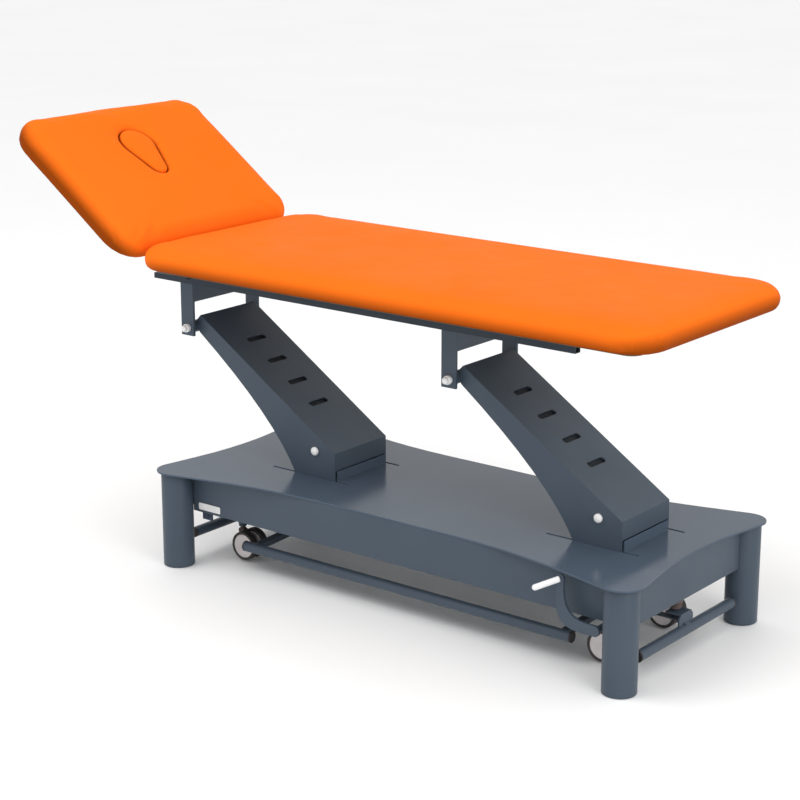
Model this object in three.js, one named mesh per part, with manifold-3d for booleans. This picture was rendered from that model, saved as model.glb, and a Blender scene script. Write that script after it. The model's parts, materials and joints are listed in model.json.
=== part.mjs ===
// Height-adjustable two-section examination couch, in millimetres, +Z up.
// The couch stands on the floor (z = 0) with its head end towards -X and its foot end towards +X.
// Everything is laid out from the middle of the base; the last group moves the origin to the middle of
// the whole couch's footprint.

import * as THREE from "three";
import { mergeVertices } from "three/addons/utils/BufferGeometryUtils.js";
import Module from "manifold-3d";

const wasm = await Module();
wasm.setup();

// ---------------------------------------------------------------------------------------------------
// Driving dimensions
// ---------------------------------------------------------------------------------------------------

const GAP = 0.3; // left between pieces that touch

// Base
const LEG_X = 657.5; // leg axis from the middle of the base, along the couch
const LEG_Y = 267.3; // and across it
const LEG_R = 39.5;
const LEG_WALL = 3;
const PLATE_TOP = 251;
const PLATE_T = 4;
const PLATE_CORNER_R = 50;
const PLATE_WAIST_X = 675; // half length of the plate at the middle of its end edges
const PLATE_WAIST_Y = 243; // half width of the plate at the middle of its long edges
const SKIRT_T = 3;
const SKIRT_BOTTOM = 142;
const SKIRT_FLANGE = 12; // inward fold along a skirt's lower edge
const SKIRT_END_X = 668; // outer face of an end skirt
const PLATE_UNDER = PLATE_TOP - PLATE_T;
const UNDER = PLATE_UNDER - GAP; // top of whatever hangs under the plate

// Lifting arms
const ARM_SPACING = 829.6; // from the head-end arm to the foot-end one
const ARM_PIVOT_X = -340; // lower pivot of the head-end arm
const ARM_PIVOT_Z = 318;
const ARM_REACH_X = 402.3; // upper pivot from the lower one, towards the head
const ARM_REACH_Z = 258.1;
const ARM_HALF_W = 101.3; // outer faces of the side plates
const ARM_SHEET = 4;
const ARM_TUBE_R = 15.5; // cross tube at the arm's upper end
const BOLT_R = 8;
const BOLT_CLEARANCE = 0.5;
const CRANK_R = 110; // lower pivot to crank shaft
const CRANK_LEAN = THREE.MathUtils.degToRad(4.5); // the crank hangs plumb at mid stroke
const CRANK_PIN_R = 8;
const SLOT_START = -142; // plate slots, from the arm's lower pivot
const SLOT_END = 106;
const SLOT_HALF_W = 4;

// Top frame
const POST_W = 41.7;
const POST_T = 7;
const POST_Y = 118; // inner face of a hanger post
const POST_DROP = 20; // post end below the upper pivot
const RAIL_BOTTOM = 693;
const RAIL_H = 40;
const RAIL_Y = 121; // middle of a rail
const RAIL_W = 20;
const RAIL_WALL = 2.5;
const RAIL_HEAD_X = -778; // full-height rail ends here; its low tongue runs on
const RAIL_TONGUE_X = -851;
const RAIL_FOOT_X = 436;
const TONGUE_H = 14;
const BEAM_H = 47;
const BOARD_T = 14;
const BOARD_INSET = 70; // board edge from the cushion's side

// Main cushion
const PAD_HALF_W = 325;
const PAD_HEAD_X = -753;
const PAD_FOOT_X = 735;
const PAD_TOP = 822;
const PAD_T = 62;
const PAD_CORNER_R = 90;
const PAD_EDGE_IN = 42; // how far the rounded upper edge comes in
const PAD_UNDER_IN = 18; // how far the rounded underside comes in
const PAD_WAIST = 0.4; // height of the widest line, as a share of the thickness
const BOARD_HALF_W = PAD_HALF_W - BOARD_INSET;
const BOARD_CORNER_R = 30;
const BOARD_HINGE_INSET = 50; // the same beside the hinge

// Head section, in its own frame: the hinge axis is at 0, 0 and the section lies flat towards -X
const HINGE_X = -759;
const HINGE_Z = 744;
const HINGE_PIN_R = 6;
const HINGE_LUG_T = 8;
const HEAD_REST_ANGLE = THREE.MathUtils.degToRad(35.72);
const HEAD_START = -25; // cushion end beside the hinge
const HEAD_LENGTH = 502;
const HEAD_TOP = 71;
const HEAD_T = 66;
const HEAD_CORNER_R = 80;
const HEAD_BOARD_T = 10.7;
const PLUG_WIDE_X = -363.3; // centre of the face plug's wide end
const PLUG_WIDE_R = 53;
const PLUG_NARROW_X = -276.3;
const PLUG_NARROW_R = 28;
const PLUG_Y = -10;
const PLUG_GAP = 1.2;
const STRUT_CRANK_R = 40;
const STRUT_CRANK_MID = THREE.MathUtils.degToRad(10); // section angle at which this crank hangs plumb
const STRUT_PIN_R = 4;

// Castor lift
const AXLE_X = 600;
const AXLE_Z = 131;
const AXLE_R = 8;
const CASTOR_X = 563; // swivel axis
const CASTOR_Y = 130;
const CASTOR_TRAIL = 24;
const WHEEL_R = 37.5;
const WHEEL_Z = 40;
const WHEEL_W = 20;
const CASTOR_HALF_W = 28;
const LINK_CRANK = 36;
const LINK_Y = 163; // inner face of the link rod

// Foot-control bars
const BAR_R = 13;
const BAR_Z = 64;
const SIDE_BAR_Y = 200;
const SIDE_BAR_HALF = 490;
const SIDE_ARM_X = 462;
const SIDE_PIVOT_Y = 75;
const END_BAR_X = 664;
const END_BAR_HALF = 206;
const END_PIVOT_X = 520;
const BAR_PIVOT_Z = 236;
const BAR_PIN_R = 4;
const SWITCH_X = 635;
const SWITCH_R = 17;
const SWITCH_BOTTOM = 107.5;

// ---------------------------------------------------------------------------------------------------
// Materials
// ---------------------------------------------------------------------------------------------------

function finish(color, roughness, metalness = 0) {
  return new THREE.MeshStandardMaterial({ color, roughness, metalness });
}

const PAINT = finish(0x4b5765, 0.35, 0.1);
const UPHOLSTERY = finish(0xff7b1f, 0.55);
const PLYWOOD = finish(0xb08a5a, 0.7);
const CAP = finish(0xe9e6e4, 0.35);
const ZINC = finish(0xb9bcc0, 0.35, 0.9);
const DARK_PLASTIC = finish(0x2b2c2f, 0.5);
const BROWN_RUBBER = finish(0x4a3a37, 0.7);
const GREY_PLASTIC = finish(0x8a8d92, 0.5);

// ---------------------------------------------------------------------------------------------------
// Shape helpers
// ---------------------------------------------------------------------------------------------------

// A closed geometry as a manifold-3d solid.
function solidOf(geometry) {
  const bare = geometry.index ? geometry.toNonIndexed() : geometry.clone();
  bare.deleteAttribute("normal");
  bare.deleteAttribute("uv");
  const merged = mergeVertices(bare, 1e-3);
  const mesh = new wasm.Mesh({
    numProp: 3,
    vertProperties: merged.attributes.position.array,
    triVerts: new Uint32Array(merged.index.array),
  });
  return new wasm.Manifold(mesh);
}

// A manifold-3d solid as a flat-shaded geometry.
function geometryOf(solid) {
  const mesh = solid.getMesh();
  const indexed = new THREE.BufferGeometry();
  indexed.setAttribute("position", new THREE.BufferAttribute(Float32Array.from(mesh.vertProperties), 3));
  indexed.setIndex(new THREE.BufferAttribute(Uint32Array.from(mesh.triVerts), 1));
  const flat = indexed.toNonIndexed();
  flat.computeVertexNormals();
  return flat;
}

function join(...geometries) {
  const [first, ...rest] = geometries.map(solidOf);
  return geometryOf(rest.reduce((whole, piece) => whole.add(piece), first));
}

function cut(geometry, ...tools) {
  return geometryOf(tools.map(solidOf).reduce((whole, tool) => whole.subtract(tool), solidOf(geometry)));
}

// A shape drawn in X and Z, given a thickness from y0 to y1.
function slabXZ(shape, y0, y1, curveSegments = 6) {
  const geometry = new THREE.ExtrudeGeometry(shape, { depth: y1 - y0, bevelEnabled: false, curveSegments });
  return geometry.rotateX(Math.PI / 2).translate(0, y1, 0);
}

// A shape drawn in X and Y, from z0 to z1.
function slabXY(shape, z0, z1, curveSegments = 6) {
  const geometry = new THREE.ExtrudeGeometry(shape, { depth: z1 - z0, bevelEnabled: false, curveSegments });
  return geometry.translate(0, 0, z0);
}

// A profile drawn in Y and Z, run from x0 to x1.
function runX(shape, x0, x1) {
  const geometry = new THREE.ExtrudeGeometry(shape, { depth: x1 - x0, bevelEnabled: false, curveSegments: 4 });
  const turn = new THREE.Matrix4().makeBasis(
    new THREE.Vector3(0, 1, 0),
    new THREE.Vector3(0, 0, 1),
    new THREE.Vector3(1, 0, 0),
  );
  return geometry.applyMatrix4(turn).translate(x0, 0, 0);
}

function block(x0, x1, y0, y1, z0, z1) {
  return new THREE.BoxGeometry(x1 - x0, y1 - y0, z1 - z0).translate((x0 + x1) / 2, (y0 + y1) / 2, (z0 + z1) / 2);
}

function rodX(r, x0, x1, y, z, sides = 16) {
  return new THREE.CylinderGeometry(r, r, x1 - x0, sides).rotateZ(Math.PI / 2).translate((x0 + x1) / 2, y, z);
}

function rodY(r, y0, y1, x, z, sides = 16) {
  return new THREE.CylinderGeometry(r, r, y1 - y0, sides).translate(x, (y0 + y1) / 2, z);
}

function rodZ(r, z0, z1, x, y, sides = 16) {
  return new THREE.CylinderGeometry(r, r, z1 - z0, sides).rotateX(Math.PI / 2).translate(x, y, (z0 + z1) / 2);
}

// Lathe profiles turn about Y; this stands them up along Z with their faces out.
function lathe(profile, sides) {
  return new THREE.LatheGeometry(profile.map(([r, z]) => new THREE.Vector2(r, z)), sides).rotateX(Math.PI / 2);
}

// Two circles and their common tangents: a link, lug or lobe outline.
function taperedPill(x0, y0, r0, x1, y1, r1) {
  const along = Math.atan2(y1 - y0, x1 - x0);
  const side = Math.acos((r0 - r1) / Math.hypot(x1 - x0, y1 - y0));
  const shape = new THREE.Shape();
  shape.absarc(x0, y0, r0, along + side, along - side + 2 * Math.PI, false);
  shape.absarc(x1, y1, r1, along - side, along + side, false);
  shape.closePath();
  return shape;
}

function pill(x0, y0, x1, y1, r) {
  return taperedPill(x0, y0, r, x1, y1, r);
}

function rectangle(u0, u1, v0, v1) {
  const shape = new THREE.Shape();
  shape.moveTo(u0, v0);
  shape.lineTo(u1, v0);
  shape.lineTo(u1, v1);
  shape.lineTo(u0, v1);
  shape.closePath();
  return shape;
}

function roundedRing(x0, x1, halfWidth, r, steps) {
  const centres = [
    [x1 - r, halfWidth - r, 0],
    [x0 + r, halfWidth - r, 90],
    [x0 + r, r - halfWidth, 180],
    [x1 - r, r - halfWidth, 270],
  ];
  return centres.flatMap(([cx, cy, start]) =>
    Array.from({ length: steps + 1 }, (_, i) => {
      const angle = THREE.MathUtils.degToRad(start + (90 * i) / steps);
      return [cx + r * Math.cos(angle), cy + r * Math.sin(angle)];
    }),
  );
}

function roundedOutline(x0, x1, halfWidth, r, steps) {
  return new THREE.Shape(roundedRing(x0, x1, halfWidth, r, steps).map(([x, y]) => new THREE.Vector2(x, y)));
}

// A padded slab: its sides round in from a waist, a little towards the bottom and broadly towards the top.
function cushion({ x0, x1, halfWidth, bottom, top, cornerR }) {
  const waist = bottom + PAD_WAIST * (top - bottom);
  const underSteps = 2;
  const upperSteps = 3;
  const levels = [];
  for (let i = 0; i < underSteps; i += 1) {
    const angle = (Math.PI / 2) * (i / underSteps);
    levels.push([PAD_UNDER_IN * (1 - Math.sin(angle)), waist - (waist - bottom) * Math.cos(angle)]);
  }
  for (let i = 0; i <= upperSteps; i += 1) {
    const angle = (Math.PI / 2) * (i / upperSteps);
    levels.push([PAD_EDGE_IN * (1 - Math.cos(angle)), waist + (top - waist) * Math.sin(angle)]);
  }
  const rings = levels.map(([inset, z]) =>
    roundedRing(x0 + inset, x1 - inset, halfWidth - inset, cornerR - inset, 6).map(([x, y]) => [x, y, z]),
  );
  const count = rings[0].length;
  const middle = (x0 + x1) / 2;
  const vertices = [...rings.flat(), [middle, 0, bottom], [middle, 0, top]];
  const faces = [];
  for (let j = 0; j < count; j += 1) {
    const next = (j + 1) % count;
    for (let i = 0; i + 1 < rings.length; i += 1) {
      const [a, b] = [i * count + j, i * count + next];
      faces.push(a, b, b + count, a, b + count, a + count);
    }
    faces.push(next, j, vertices.length - 2);
    faces.push((rings.length - 1) * count + j, (rings.length - 1) * count + next, vertices.length - 1);
  }
  const geometry = new THREE.BufferGeometry();
  geometry.setAttribute("position", new THREE.Float32BufferAttribute(vertices.flat(), 3));
  geometry.setIndex(faces);
  const flat = geometry.toNonIndexed();
  flat.computeVertexNormals();
  return flat;
}

// ---------------------------------------------------------------------------------------------------
// Assembly
// ---------------------------------------------------------------------------------------------------

const couch = new THREE.Group();

function add(parent, name, geometry, material) {
  const mesh = new THREE.Mesh(geometry, material);
  mesh.name = name;
  parent.add(mesh);
  return mesh;
}

const ENDS = [
  ["head", -1],
  ["foot", 1],
];
const SIDES = [
  ["front", -1],
  ["rear", 1],
];

// ---------------------------------------------------------------------------------------------------
// Base: plate with its welded lugs, skirts, legs
// ---------------------------------------------------------------------------------------------------

// A quarter of the plate's waisted outline, from the middle of an end edge to the middle of a long edge.
function plateQuarter() {
  const endLean = THREE.MathUtils.degToRad(10);
  const sideLean = THREE.MathUtils.degToRad(14.7);
  const endX = LEG_X + PLATE_CORNER_R * Math.cos(endLean);
  const endY = LEG_Y - PLATE_CORNER_R * Math.sin(endLean);
  const sideX = LEG_X - PLATE_CORNER_R * Math.sin(sideLean);
  const sideY = LEG_Y + PLATE_CORNER_R * Math.cos(sideLean);
  const v = (x, y) => new THREE.Vector2(x, y);
  const endEdge = new THREE.CubicBezierCurve(
    v(PLATE_WAIST_X, 0),
    v(PLATE_WAIST_X, 100),
    v(endX - 95 * Math.tan(endLean), endY - 95),
    v(endX, endY),
  );
  const corner = new THREE.EllipseCurve(
    LEG_X,
    LEG_Y,
    PLATE_CORNER_R,
    PLATE_CORNER_R,
    -endLean,
    Math.PI / 2 + sideLean,
  );
  const sideEdge = new THREE.CubicBezierCurve(
    v(sideX, sideY),
    v(sideX - 145, sideY - 145 * Math.tan(sideLean)),
    v(380, PLATE_WAIST_Y),
    v(180, PLATE_WAIST_Y),
  );
  return [...endEdge.getPoints(5), ...corner.getPoints(8).slice(1), ...sideEdge.getPoints(8).slice(1)];
}

function plateOutline() {
  const quarter = plateQuarter();
  const mirrored = (sx, sy) => quarter.map((p) => new THREE.Vector2(sx * p.x, sy * p.y));
  const points = [
    ...mirrored(1, 1),
    ...mirrored(-1, 1).reverse(),
    ...mirrored(-1, -1).slice(1),
    ...mirrored(1, -1).reverse().slice(0, -1),
  ];
  return new THREE.Shape(points);
}

const SLOT_Y = ARM_HALF_W - ARM_SHEET / 2;

function armSlots() {
  return [ARM_PIVOT_X, ARM_PIVOT_X + ARM_SPACING].flatMap((pivot) =>
    [-SLOT_Y, SLOT_Y].map((y) =>
      pill(pivot + SLOT_START + SLOT_HALF_W, y, pivot + SLOT_END - SLOT_HALF_W, y, SLOT_HALF_W),
    ),
  );
}

const LUG_T = 6;
const LUG_HALF_W = 15;
const SLEEVE_R = 11;
const GUIDE_R = 6;
const GUIDE_Y = 35;
const SLEEVE_BOTTOM = 175;
const AXLE_LUG_Y = [-219, 183];

// A hanging lug under the plate with a hole for a pin or axle along Y.
function lugAlongY(x, y, holeZ, holeR) {
  const plate = rectangle(x - LUG_HALF_W, x + LUG_HALF_W, holeZ - LUG_HALF_W, PLATE_UNDER + 1);
  const hole = new THREE.Path();
  hole.absarc(x, holeZ, holeR, 0, 2 * Math.PI, false);
  plate.holes.push(hole);
  return slabXZ(plate, y - LUG_T / 2, y + LUG_T / 2);
}

// The same with the hole along X.
function lugAlongX(x, y, holeZ, holeR) {
  const plate = rectangle(y - LUG_HALF_W, y + LUG_HALF_W, holeZ - LUG_HALF_W, PLATE_UNDER + 1);
  const hole = new THREE.Path();
  hole.absarc(y, holeZ, holeR, 0, 2 * Math.PI, false);
  plate.holes.push(hole);
  return runX(plate, x - LUG_T / 2, x + LUG_T / 2);
}

const UPSTAND_X = 61.7; // low sheet on the plate that closes the gap under an arm's end panel
const UPSTAND_T = 3;
const UPSTAND_H = 23;
const UPSTAND_HALF_W = 94;
const SIDE_LUG_X = SIDE_ARM_X + 15; // middle of the lug beside a side bar's arm
const END_BRACKET_HALF_W = 9;
const END_LUG_Y = 14; // middle of a lug beside an end bar's bracket

function basePlate() {
  const outline = plateOutline();
  outline.holes.push(...armSlots());
  const pieces = [slabXY(outline, PLATE_UNDER, PLATE_TOP)];
  const pinHole = BAR_PIN_R + BOLT_CLEARANCE;
  for (const pivot of [ARM_PIVOT_X, ARM_PIVOT_X + ARM_SPACING]) {
    const x = pivot + UPSTAND_X;
    pieces.push(block(x, x + UPSTAND_T, -UPSTAND_HALF_W, UPSTAND_HALF_W, PLATE_TOP - 1, PLATE_TOP + UPSTAND_H));
  }
  for (const [, end] of ENDS) {
    for (const y of AXLE_LUG_Y) pieces.push(lugAlongY(end * AXLE_X, y, AXLE_Z, AXLE_R + BOLT_CLEARANCE));
    for (const side of [-1, 1]) {
      pieces.push(lugAlongY(end * END_PIVOT_X, side * END_LUG_Y, BAR_PIVOT_Z, pinHole));
      pieces.push(lugAlongX(end * SIDE_LUG_X, side * SIDE_PIVOT_Y, BAR_PIVOT_Z, pinHole));
      const sleeve = rodZ(SLEEVE_R, SLEEVE_BOTTOM, PLATE_UNDER + 1, end * CASTOR_X, side * GUIDE_Y, 12);
      const bore = rodZ(GUIDE_R + 1, SLEEVE_BOTTOM - 1, PLATE_UNDER - 4, end * CASTOR_X, side * GUIDE_Y, 12);
      pieces.push(cut(sleeve, bore));
    }
  }
  return join(...pieces);
}

// An upright sheet with its lower edge folded inwards, drawn with its outer face at `face`.
function skirtProfile(face, inward) {
  const shape = new THREE.Shape();
  shape.moveTo(face, SKIRT_BOTTOM);
  shape.lineTo(face, UNDER);
  shape.lineTo(face + inward * SKIRT_T, UNDER);
  shape.lineTo(face + inward * SKIRT_T, SKIRT_BOTTOM + SKIRT_T);
  shape.lineTo(face + inward * SKIRT_FLANGE, SKIRT_BOTTOM + SKIRT_T);
  shape.lineTo(face + inward * SKIRT_FLANGE, SKIRT_BOTTOM);
  shape.closePath();
  return shape;
}

const SKIRT_SIDE_Y = PLATE_WAIST_Y - 1;
const legHalfChord = (offset) => Math.sqrt(LEG_R ** 2 - offset ** 2);
const SIDE_SKIRT_HALF = LEG_X - legHalfChord(LEG_Y - SKIRT_SIDE_Y) - 1;
const END_SKIRT_HALF = LEG_Y - LEG_R - 1;

function legGeometry() {
  const profile = [
    [0, 0],
    [LEG_R - 1.5, 0],
    [LEG_R, 1.5],
    [LEG_R, UNDER],
    [LEG_R - LEG_WALL, UNDER],
    [LEG_R - LEG_WALL, 5],
    [0, 5],
  ];
  return lathe(profile, 24);
}

const base = new THREE.Group();
couch.add(base);
add(base, "base_plate", basePlate(), PAINT);
for (const [name, side] of SIDES) {
  const profile = skirtProfile(side * SKIRT_SIDE_Y, -side);
  add(base, `skirt_${name}`, runX(profile, -SIDE_SKIRT_HALF, SIDE_SKIRT_HALF), PAINT);
}
for (const [name, end] of ENDS) {
  const sheet = slabXZ(skirtProfile(end * SKIRT_END_X, -end), -END_SKIRT_HALF, END_SKIRT_HALF);
  add(base, `skirt_${name}`, sheet, PAINT);
}
for (const [endName, end] of ENDS) {
  for (const [sideName, side] of SIDES) {
    const leg = add(base, `leg_${endName}_${sideName}`, legGeometry(), PAINT);
    leg.position.set(end * LEG_X, side * LEG_Y, 0);
  }
}

// ---------------------------------------------------------------------------------------------------
// Lower pivots: a folded bracket and a bolt for each arm
// ---------------------------------------------------------------------------------------------------

const BRACKET_HALF_W = ARM_HALF_W - ARM_SHEET - 3;
const BRACKET_T = 6;

function armBracket() {
  const floor = PLATE_TOP + GAP;
  const foot = block(-45, 26, -BRACKET_HALF_W, BRACKET_HALF_W, floor, floor + BRACKET_T);
  const cheek = new THREE.Shape();
  cheek.moveTo(-40, floor);
  cheek.lineTo(24, floor);
  cheek.lineTo(16, ARM_PIVOT_Z);
  cheek.absarc(0, ARM_PIVOT_Z, 16, 0, Math.PI, false);
  cheek.closePath();
  const hole = new THREE.Path();
  hole.absarc(0, ARM_PIVOT_Z, BOLT_R + GAP, 0, 2 * Math.PI, false);
  cheek.holes.push(hole);
  const inner = slabXZ(cheek, BRACKET_HALF_W - BRACKET_T, BRACKET_HALF_W);
  const outer = slabXZ(cheek, -BRACKET_HALF_W, BRACKET_T - BRACKET_HALF_W);
  return join(foot, inner, outer);
}

// A plain shaft along Y with a domed cap at each end; the caps start at `face` and stand `proud` of it.
function cappedBolt(face, proud) {
  const capR = 11;
  const profile = [
    [0, -face - proud],
    [capR * 0.7, -face - proud],
    [capR, -face - proud * 0.6],
    [capR, -face],
    [BOLT_R, -face],
    [BOLT_R, face],
    [capR, face],
    [capR, face + proud * 0.6],
    [capR * 0.7, face + proud],
    [0, face + proud],
  ];
  return new THREE.LatheGeometry(profile.map(([r, y]) => new THREE.Vector2(r, y)), 16);
}

for (const [name, end] of ENDS) {
  const pivotX = ARM_PIVOT_X + (end > 0 ? ARM_SPACING : 0);
  const bracket = add(base, `arm_bracket_${name}`, armBracket(), PAINT);
  bracket.position.x = pivotX;
  const bolt = add(base, `lower_bolt_${name}`, cappedBolt(ARM_HALF_W + 1, 9), CAP);
  bolt.position.set(pivotX, 0, ARM_PIVOT_Z);
}

// ---------------------------------------------------------------------------------------------------
// Lifting arms: folded channels, open below, drawn about their lower pivot
// ---------------------------------------------------------------------------------------------------

const ARM_TOP_HEAD = [-380, 290]; // ends of the straight cover line
const ARM_TOP_FOOT = [61, 3];
const ARM_LOWER_Z = -71;
const ARM_HOLLOW_X = -372;
const ARM_END_PANEL_BOTTOM = -42;
const crankX = -CRANK_R * Math.sin(CRANK_LEAN);
const crankZ = -CRANK_R * Math.cos(CRANK_LEAN);

// The side plate: straight along the top, a long hollow curve below, and an ear round the crank shaft.
function armOutline() {
  const earR = 15;
  const shape = new THREE.Shape();
  shape.moveTo(...ARM_TOP_FOOT);
  shape.lineTo(...ARM_TOP_HEAD);
  shape.lineTo(-399, 270);
  shape.lineTo(-384, 245);
  shape.quadraticCurveTo(-131, 58, -66, ARM_LOWER_Z);
  shape.lineTo(crankX - earR, crankZ);
  shape.absarc(crankX, crankZ, earR, Math.PI, 2 * Math.PI, false);
  shape.lineTo(ARM_TOP_FOOT[0], ARM_LOWER_Z);
  shape.closePath();
  return shape;
}

// What the channel is hollowed by: the outline less a sheet's thickness at the top and lower end,
// run on far below.
function armHollow() {
  const [hx, hz] = ARM_TOP_HEAD;
  const [fx, fz] = ARM_TOP_FOOT;
  const slope = (fz - hz) / (fx - hx);
  const drop = ARM_SHEET * Math.hypot(1, slope);
  const footX = fx - ARM_SHEET;
  const shape = new THREE.Shape();
  shape.moveTo(footX, fz + slope * (footX - fx) - drop);
  shape.lineTo(ARM_HOLLOW_X, hz + slope * (ARM_HOLLOW_X - hx) - drop);
  shape.lineTo(ARM_HOLLOW_X, crankZ - 60);
  shape.lineTo(fx + 5, crankZ - 60);
  shape.lineTo(fx + 5, ARM_END_PANEL_BOTTOM);
  shape.lineTo(footX, ARM_END_PANEL_BOTTOM);
  shape.closePath();
  return shape;
}

const VENT_COUNT = 4;
const VENT_FIRST = 118; // first vent from the cover's upper end
const VENT_PITCH = 82;
const VENT_HALF_LENGTH = 34;
const VENT_R = 8;

// Pill-shaped vents through the cover, each lying across the arm.
function armVents() {
  const [hx, hz] = ARM_TOP_HEAD;
  const [fx, fz] = ARM_TOP_FOOT;
  const slope = Math.atan2(fz - hz, fx - hx);
  const reach = VENT_HALF_LENGTH - VENT_R;
  return Array.from({ length: VENT_COUNT }, (_, i) => {
    const distance = VENT_FIRST + i * VENT_PITCH;
    const vent = slabXY(pill(0, -reach, 0, reach, VENT_R), -15, 15, 4).rotateY(-slope);
    return vent.translate(hx + distance * Math.cos(slope), 0, hz + distance * Math.sin(slope));
  });
}

function armChannel(withCrankShaft) {
  const inside = ARM_HALF_W - ARM_SHEET;
  const whole = slabXZ(armOutline(), -ARM_HALF_W, ARM_HALF_W, 8);
  const hollow = slabXZ(armHollow(), -inside, inside);
  const channel = cut(whole, hollow, ...armVents());
  const pieces = [channel, rodY(ARM_TUBE_R, -POST_Y + 0.5, POST_Y - 0.5, -ARM_REACH_X, ARM_REACH_Z, 24)];
  if (withCrankShaft) pieces.push(rodY(CRANK_PIN_R, -inside - 1, inside + 1, crankX, crankZ));
  const bores = [
    rodY(BOLT_R + BOLT_CLEARANCE, -200, 200, 0, 0),
    rodY(BOLT_R + BOLT_CLEARANCE, -200, 200, -ARM_REACH_X, ARM_REACH_Z),
  ];
  return cut(join(...pieces), ...bores);
}

for (const [name, end] of ENDS) {
  const arm = add(couch, `arm_${name}`, armChannel(end < 0), PAINT);
  arm.position.set(ARM_PIVOT_X + (end > 0 ? ARM_SPACING : 0), 0, ARM_PIVOT_Z);
}

// ---------------------------------------------------------------------------------------------------
// Linear actuator under the plate, and the electrics
// ---------------------------------------------------------------------------------------------------

const ROD_R = 12;
const ROD_Z = 216;
const TUBE_R = 22;
const TUBE_START = -238;
const TUBE_END = 60;
const MOTOR_END = 235;
const YOKE_T = 8;
const YOKE_Y = 20; // middle of a yoke plate
const YOKE_SLOT_SLACK = 1.8; // each side of the crank shaft
const CRANK_RISE = CRANK_R * (1 - Math.cos(THREE.MathUtils.degToRad(31.5)));

// The rod's end: two plates with tall slots for the crank shaft, which rises as it swings.
function actuatorRod() {
  const pinX = ARM_PIVOT_X + crankX;
  const lowZ = ARM_PIVOT_Z - CRANK_R;
  const slotR = CRANK_PIN_R + YOKE_SLOT_SLACK;
  const plate = rectangle(pinX - 22, pinX + 40, lowZ - 21, UNDER - 2);
  plate.holes.push(pill(pinX, lowZ, pinX, lowZ + CRANK_RISE, slotR));
  const near = slabXZ(plate, -YOKE_Y - YOKE_T / 2, -YOKE_Y + YOKE_T / 2);
  const far = slabXZ(plate, YOKE_Y - YOKE_T / 2, YOKE_Y + YOKE_T / 2);
  const bridge = block(pinX + 20, pinX + 40, -YOKE_Y, YOKE_Y, ROD_Z - 18, ROD_Z + 18);
  return join(near, far, bridge, rodX(ROD_R, pinX + 30, -90, 0, ROD_Z));
}

function actuatorTube() {
  const tube = rodX(TUBE_R, TUBE_START, TUBE_END, 0, ROD_Z, 24);
  return cut(tube, rodX(ROD_R + 0.6, TUBE_START - 1, TUBE_END - 12, 0, ROD_Z));
}

// Gear case and motor in one housing, with the flange that bolts it under the plate.
function actuatorMotor() {
  const start = TUBE_END + GAP;
  const gearCase = block(start, start + 62, -36, 36, 178, UNDER - 4);
  const motor = rodX(32, start + 60, MOTOR_END, 0, 206, 24);
  const flange = block(start, start + 62, -58, 58, UNDER - 6, UNDER);
  return join(gearCase, motor, flange);
}

const BOX_HALF_LENGTH = 95;
const BOX_HALF_W = 45;
const BOX_BOTTOM = 186;

function controlBox() {
  const outline = roundedOutline(-BOX_HALF_LENGTH, BOX_HALF_LENGTH, BOX_HALF_W, 10, 4);
  return slabXY(outline, BOX_BOTTOM, UNDER).translate(-75, -150, 0);
}

const INLET_X = -350;
const INLET_Z = 196;

// A mains inlet on the rear skirt: a shroud round an open socket, with no lead in it.
function mainsInlet() {
  const face = SKIRT_SIDE_Y + GAP;
  const shroud = block(INLET_X - 25, INLET_X + 25, face, face + 20, INLET_Z - 15, INLET_Z + 15);
  return cut(shroud, block(INLET_X - 14, INLET_X + 14, face + 4, face + 30, INLET_Z - 9, INLET_Z + 9));
}

add(base, "actuator_tube", actuatorTube(), ZINC);
add(base, "actuator_motor", actuatorMotor(), DARK_PLASTIC);
add(couch, "actuator_rod", actuatorRod(), ZINC);
add(base, "control_box", controlBox(), DARK_PLASTIC);
add(base, "mains_inlet", mainsInlet(), DARK_PLASTIC);
for (const [name, end] of ENDS) {
  add(base, `bar_switch_${name}`, rodZ(SWITCH_R, SWITCH_BOTTOM, UNDER, end * SWITCH_X, 0, 20), BROWN_RUBBER);
}

// ---------------------------------------------------------------------------------------------------
// Top frame: rails, hangers, crossbars, board and cushion
// ---------------------------------------------------------------------------------------------------

const topFrame = new THREE.Group();
couch.add(topFrame);

const RAIL_TOP = RAIL_BOTTOM + RAIL_H;
const UPPER_PIVOT_X = ARM_PIVOT_X - ARM_REACH_X;
const UPPER_PIVOT_Z = ARM_PIVOT_Z + ARM_REACH_Z;

// Box-section rail with a lug for the head hinge and a low tongue under the head section.
function rail(side) {
  const y = side * RAIL_Y;
  const [y0, y1] = [y - RAIL_W / 2, y + RAIL_W / 2];
  const section = rectangle(y0, y1, RAIL_BOTTOM, RAIL_TOP);
  const inner = rectangle(y0 + RAIL_WALL, y1 - RAIL_WALL, RAIL_BOTTOM + RAIL_WALL, RAIL_TOP - RAIL_WALL);
  section.holes.push(inner);
  const tube = runX(section, RAIL_HEAD_X, RAIL_FOOT_X);
  const tongue = block(RAIL_TONGUE_X, RAIL_HEAD_X + 6, y0, y1, RAIL_BOTTOM, RAIL_BOTTOM + TONGUE_H);
  const lugOutline = taperedPill(HINGE_X, HINGE_Z, 13, HINGE_X, RAIL_TOP - 3, 15);
  const lug = slabXZ(lugOutline, y - HINGE_LUG_T / 2, y + HINGE_LUG_T / 2);
  const hole = rodY(HINGE_PIN_R + BOLT_CLEARANCE, y - RAIL_W, y + RAIL_W, HINGE_X, HINGE_Z, 16);
  return cut(join(tube, tongue, lug), hole);
}

for (const [name, side] of SIDES) {
  add(topFrame, `rail_${name}`, rail(side), PAINT);
}

const POST_OFFSET = 1.5; // middle of a post from its pivot, towards the head end
const BEAM_WALL = 3;

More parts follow.
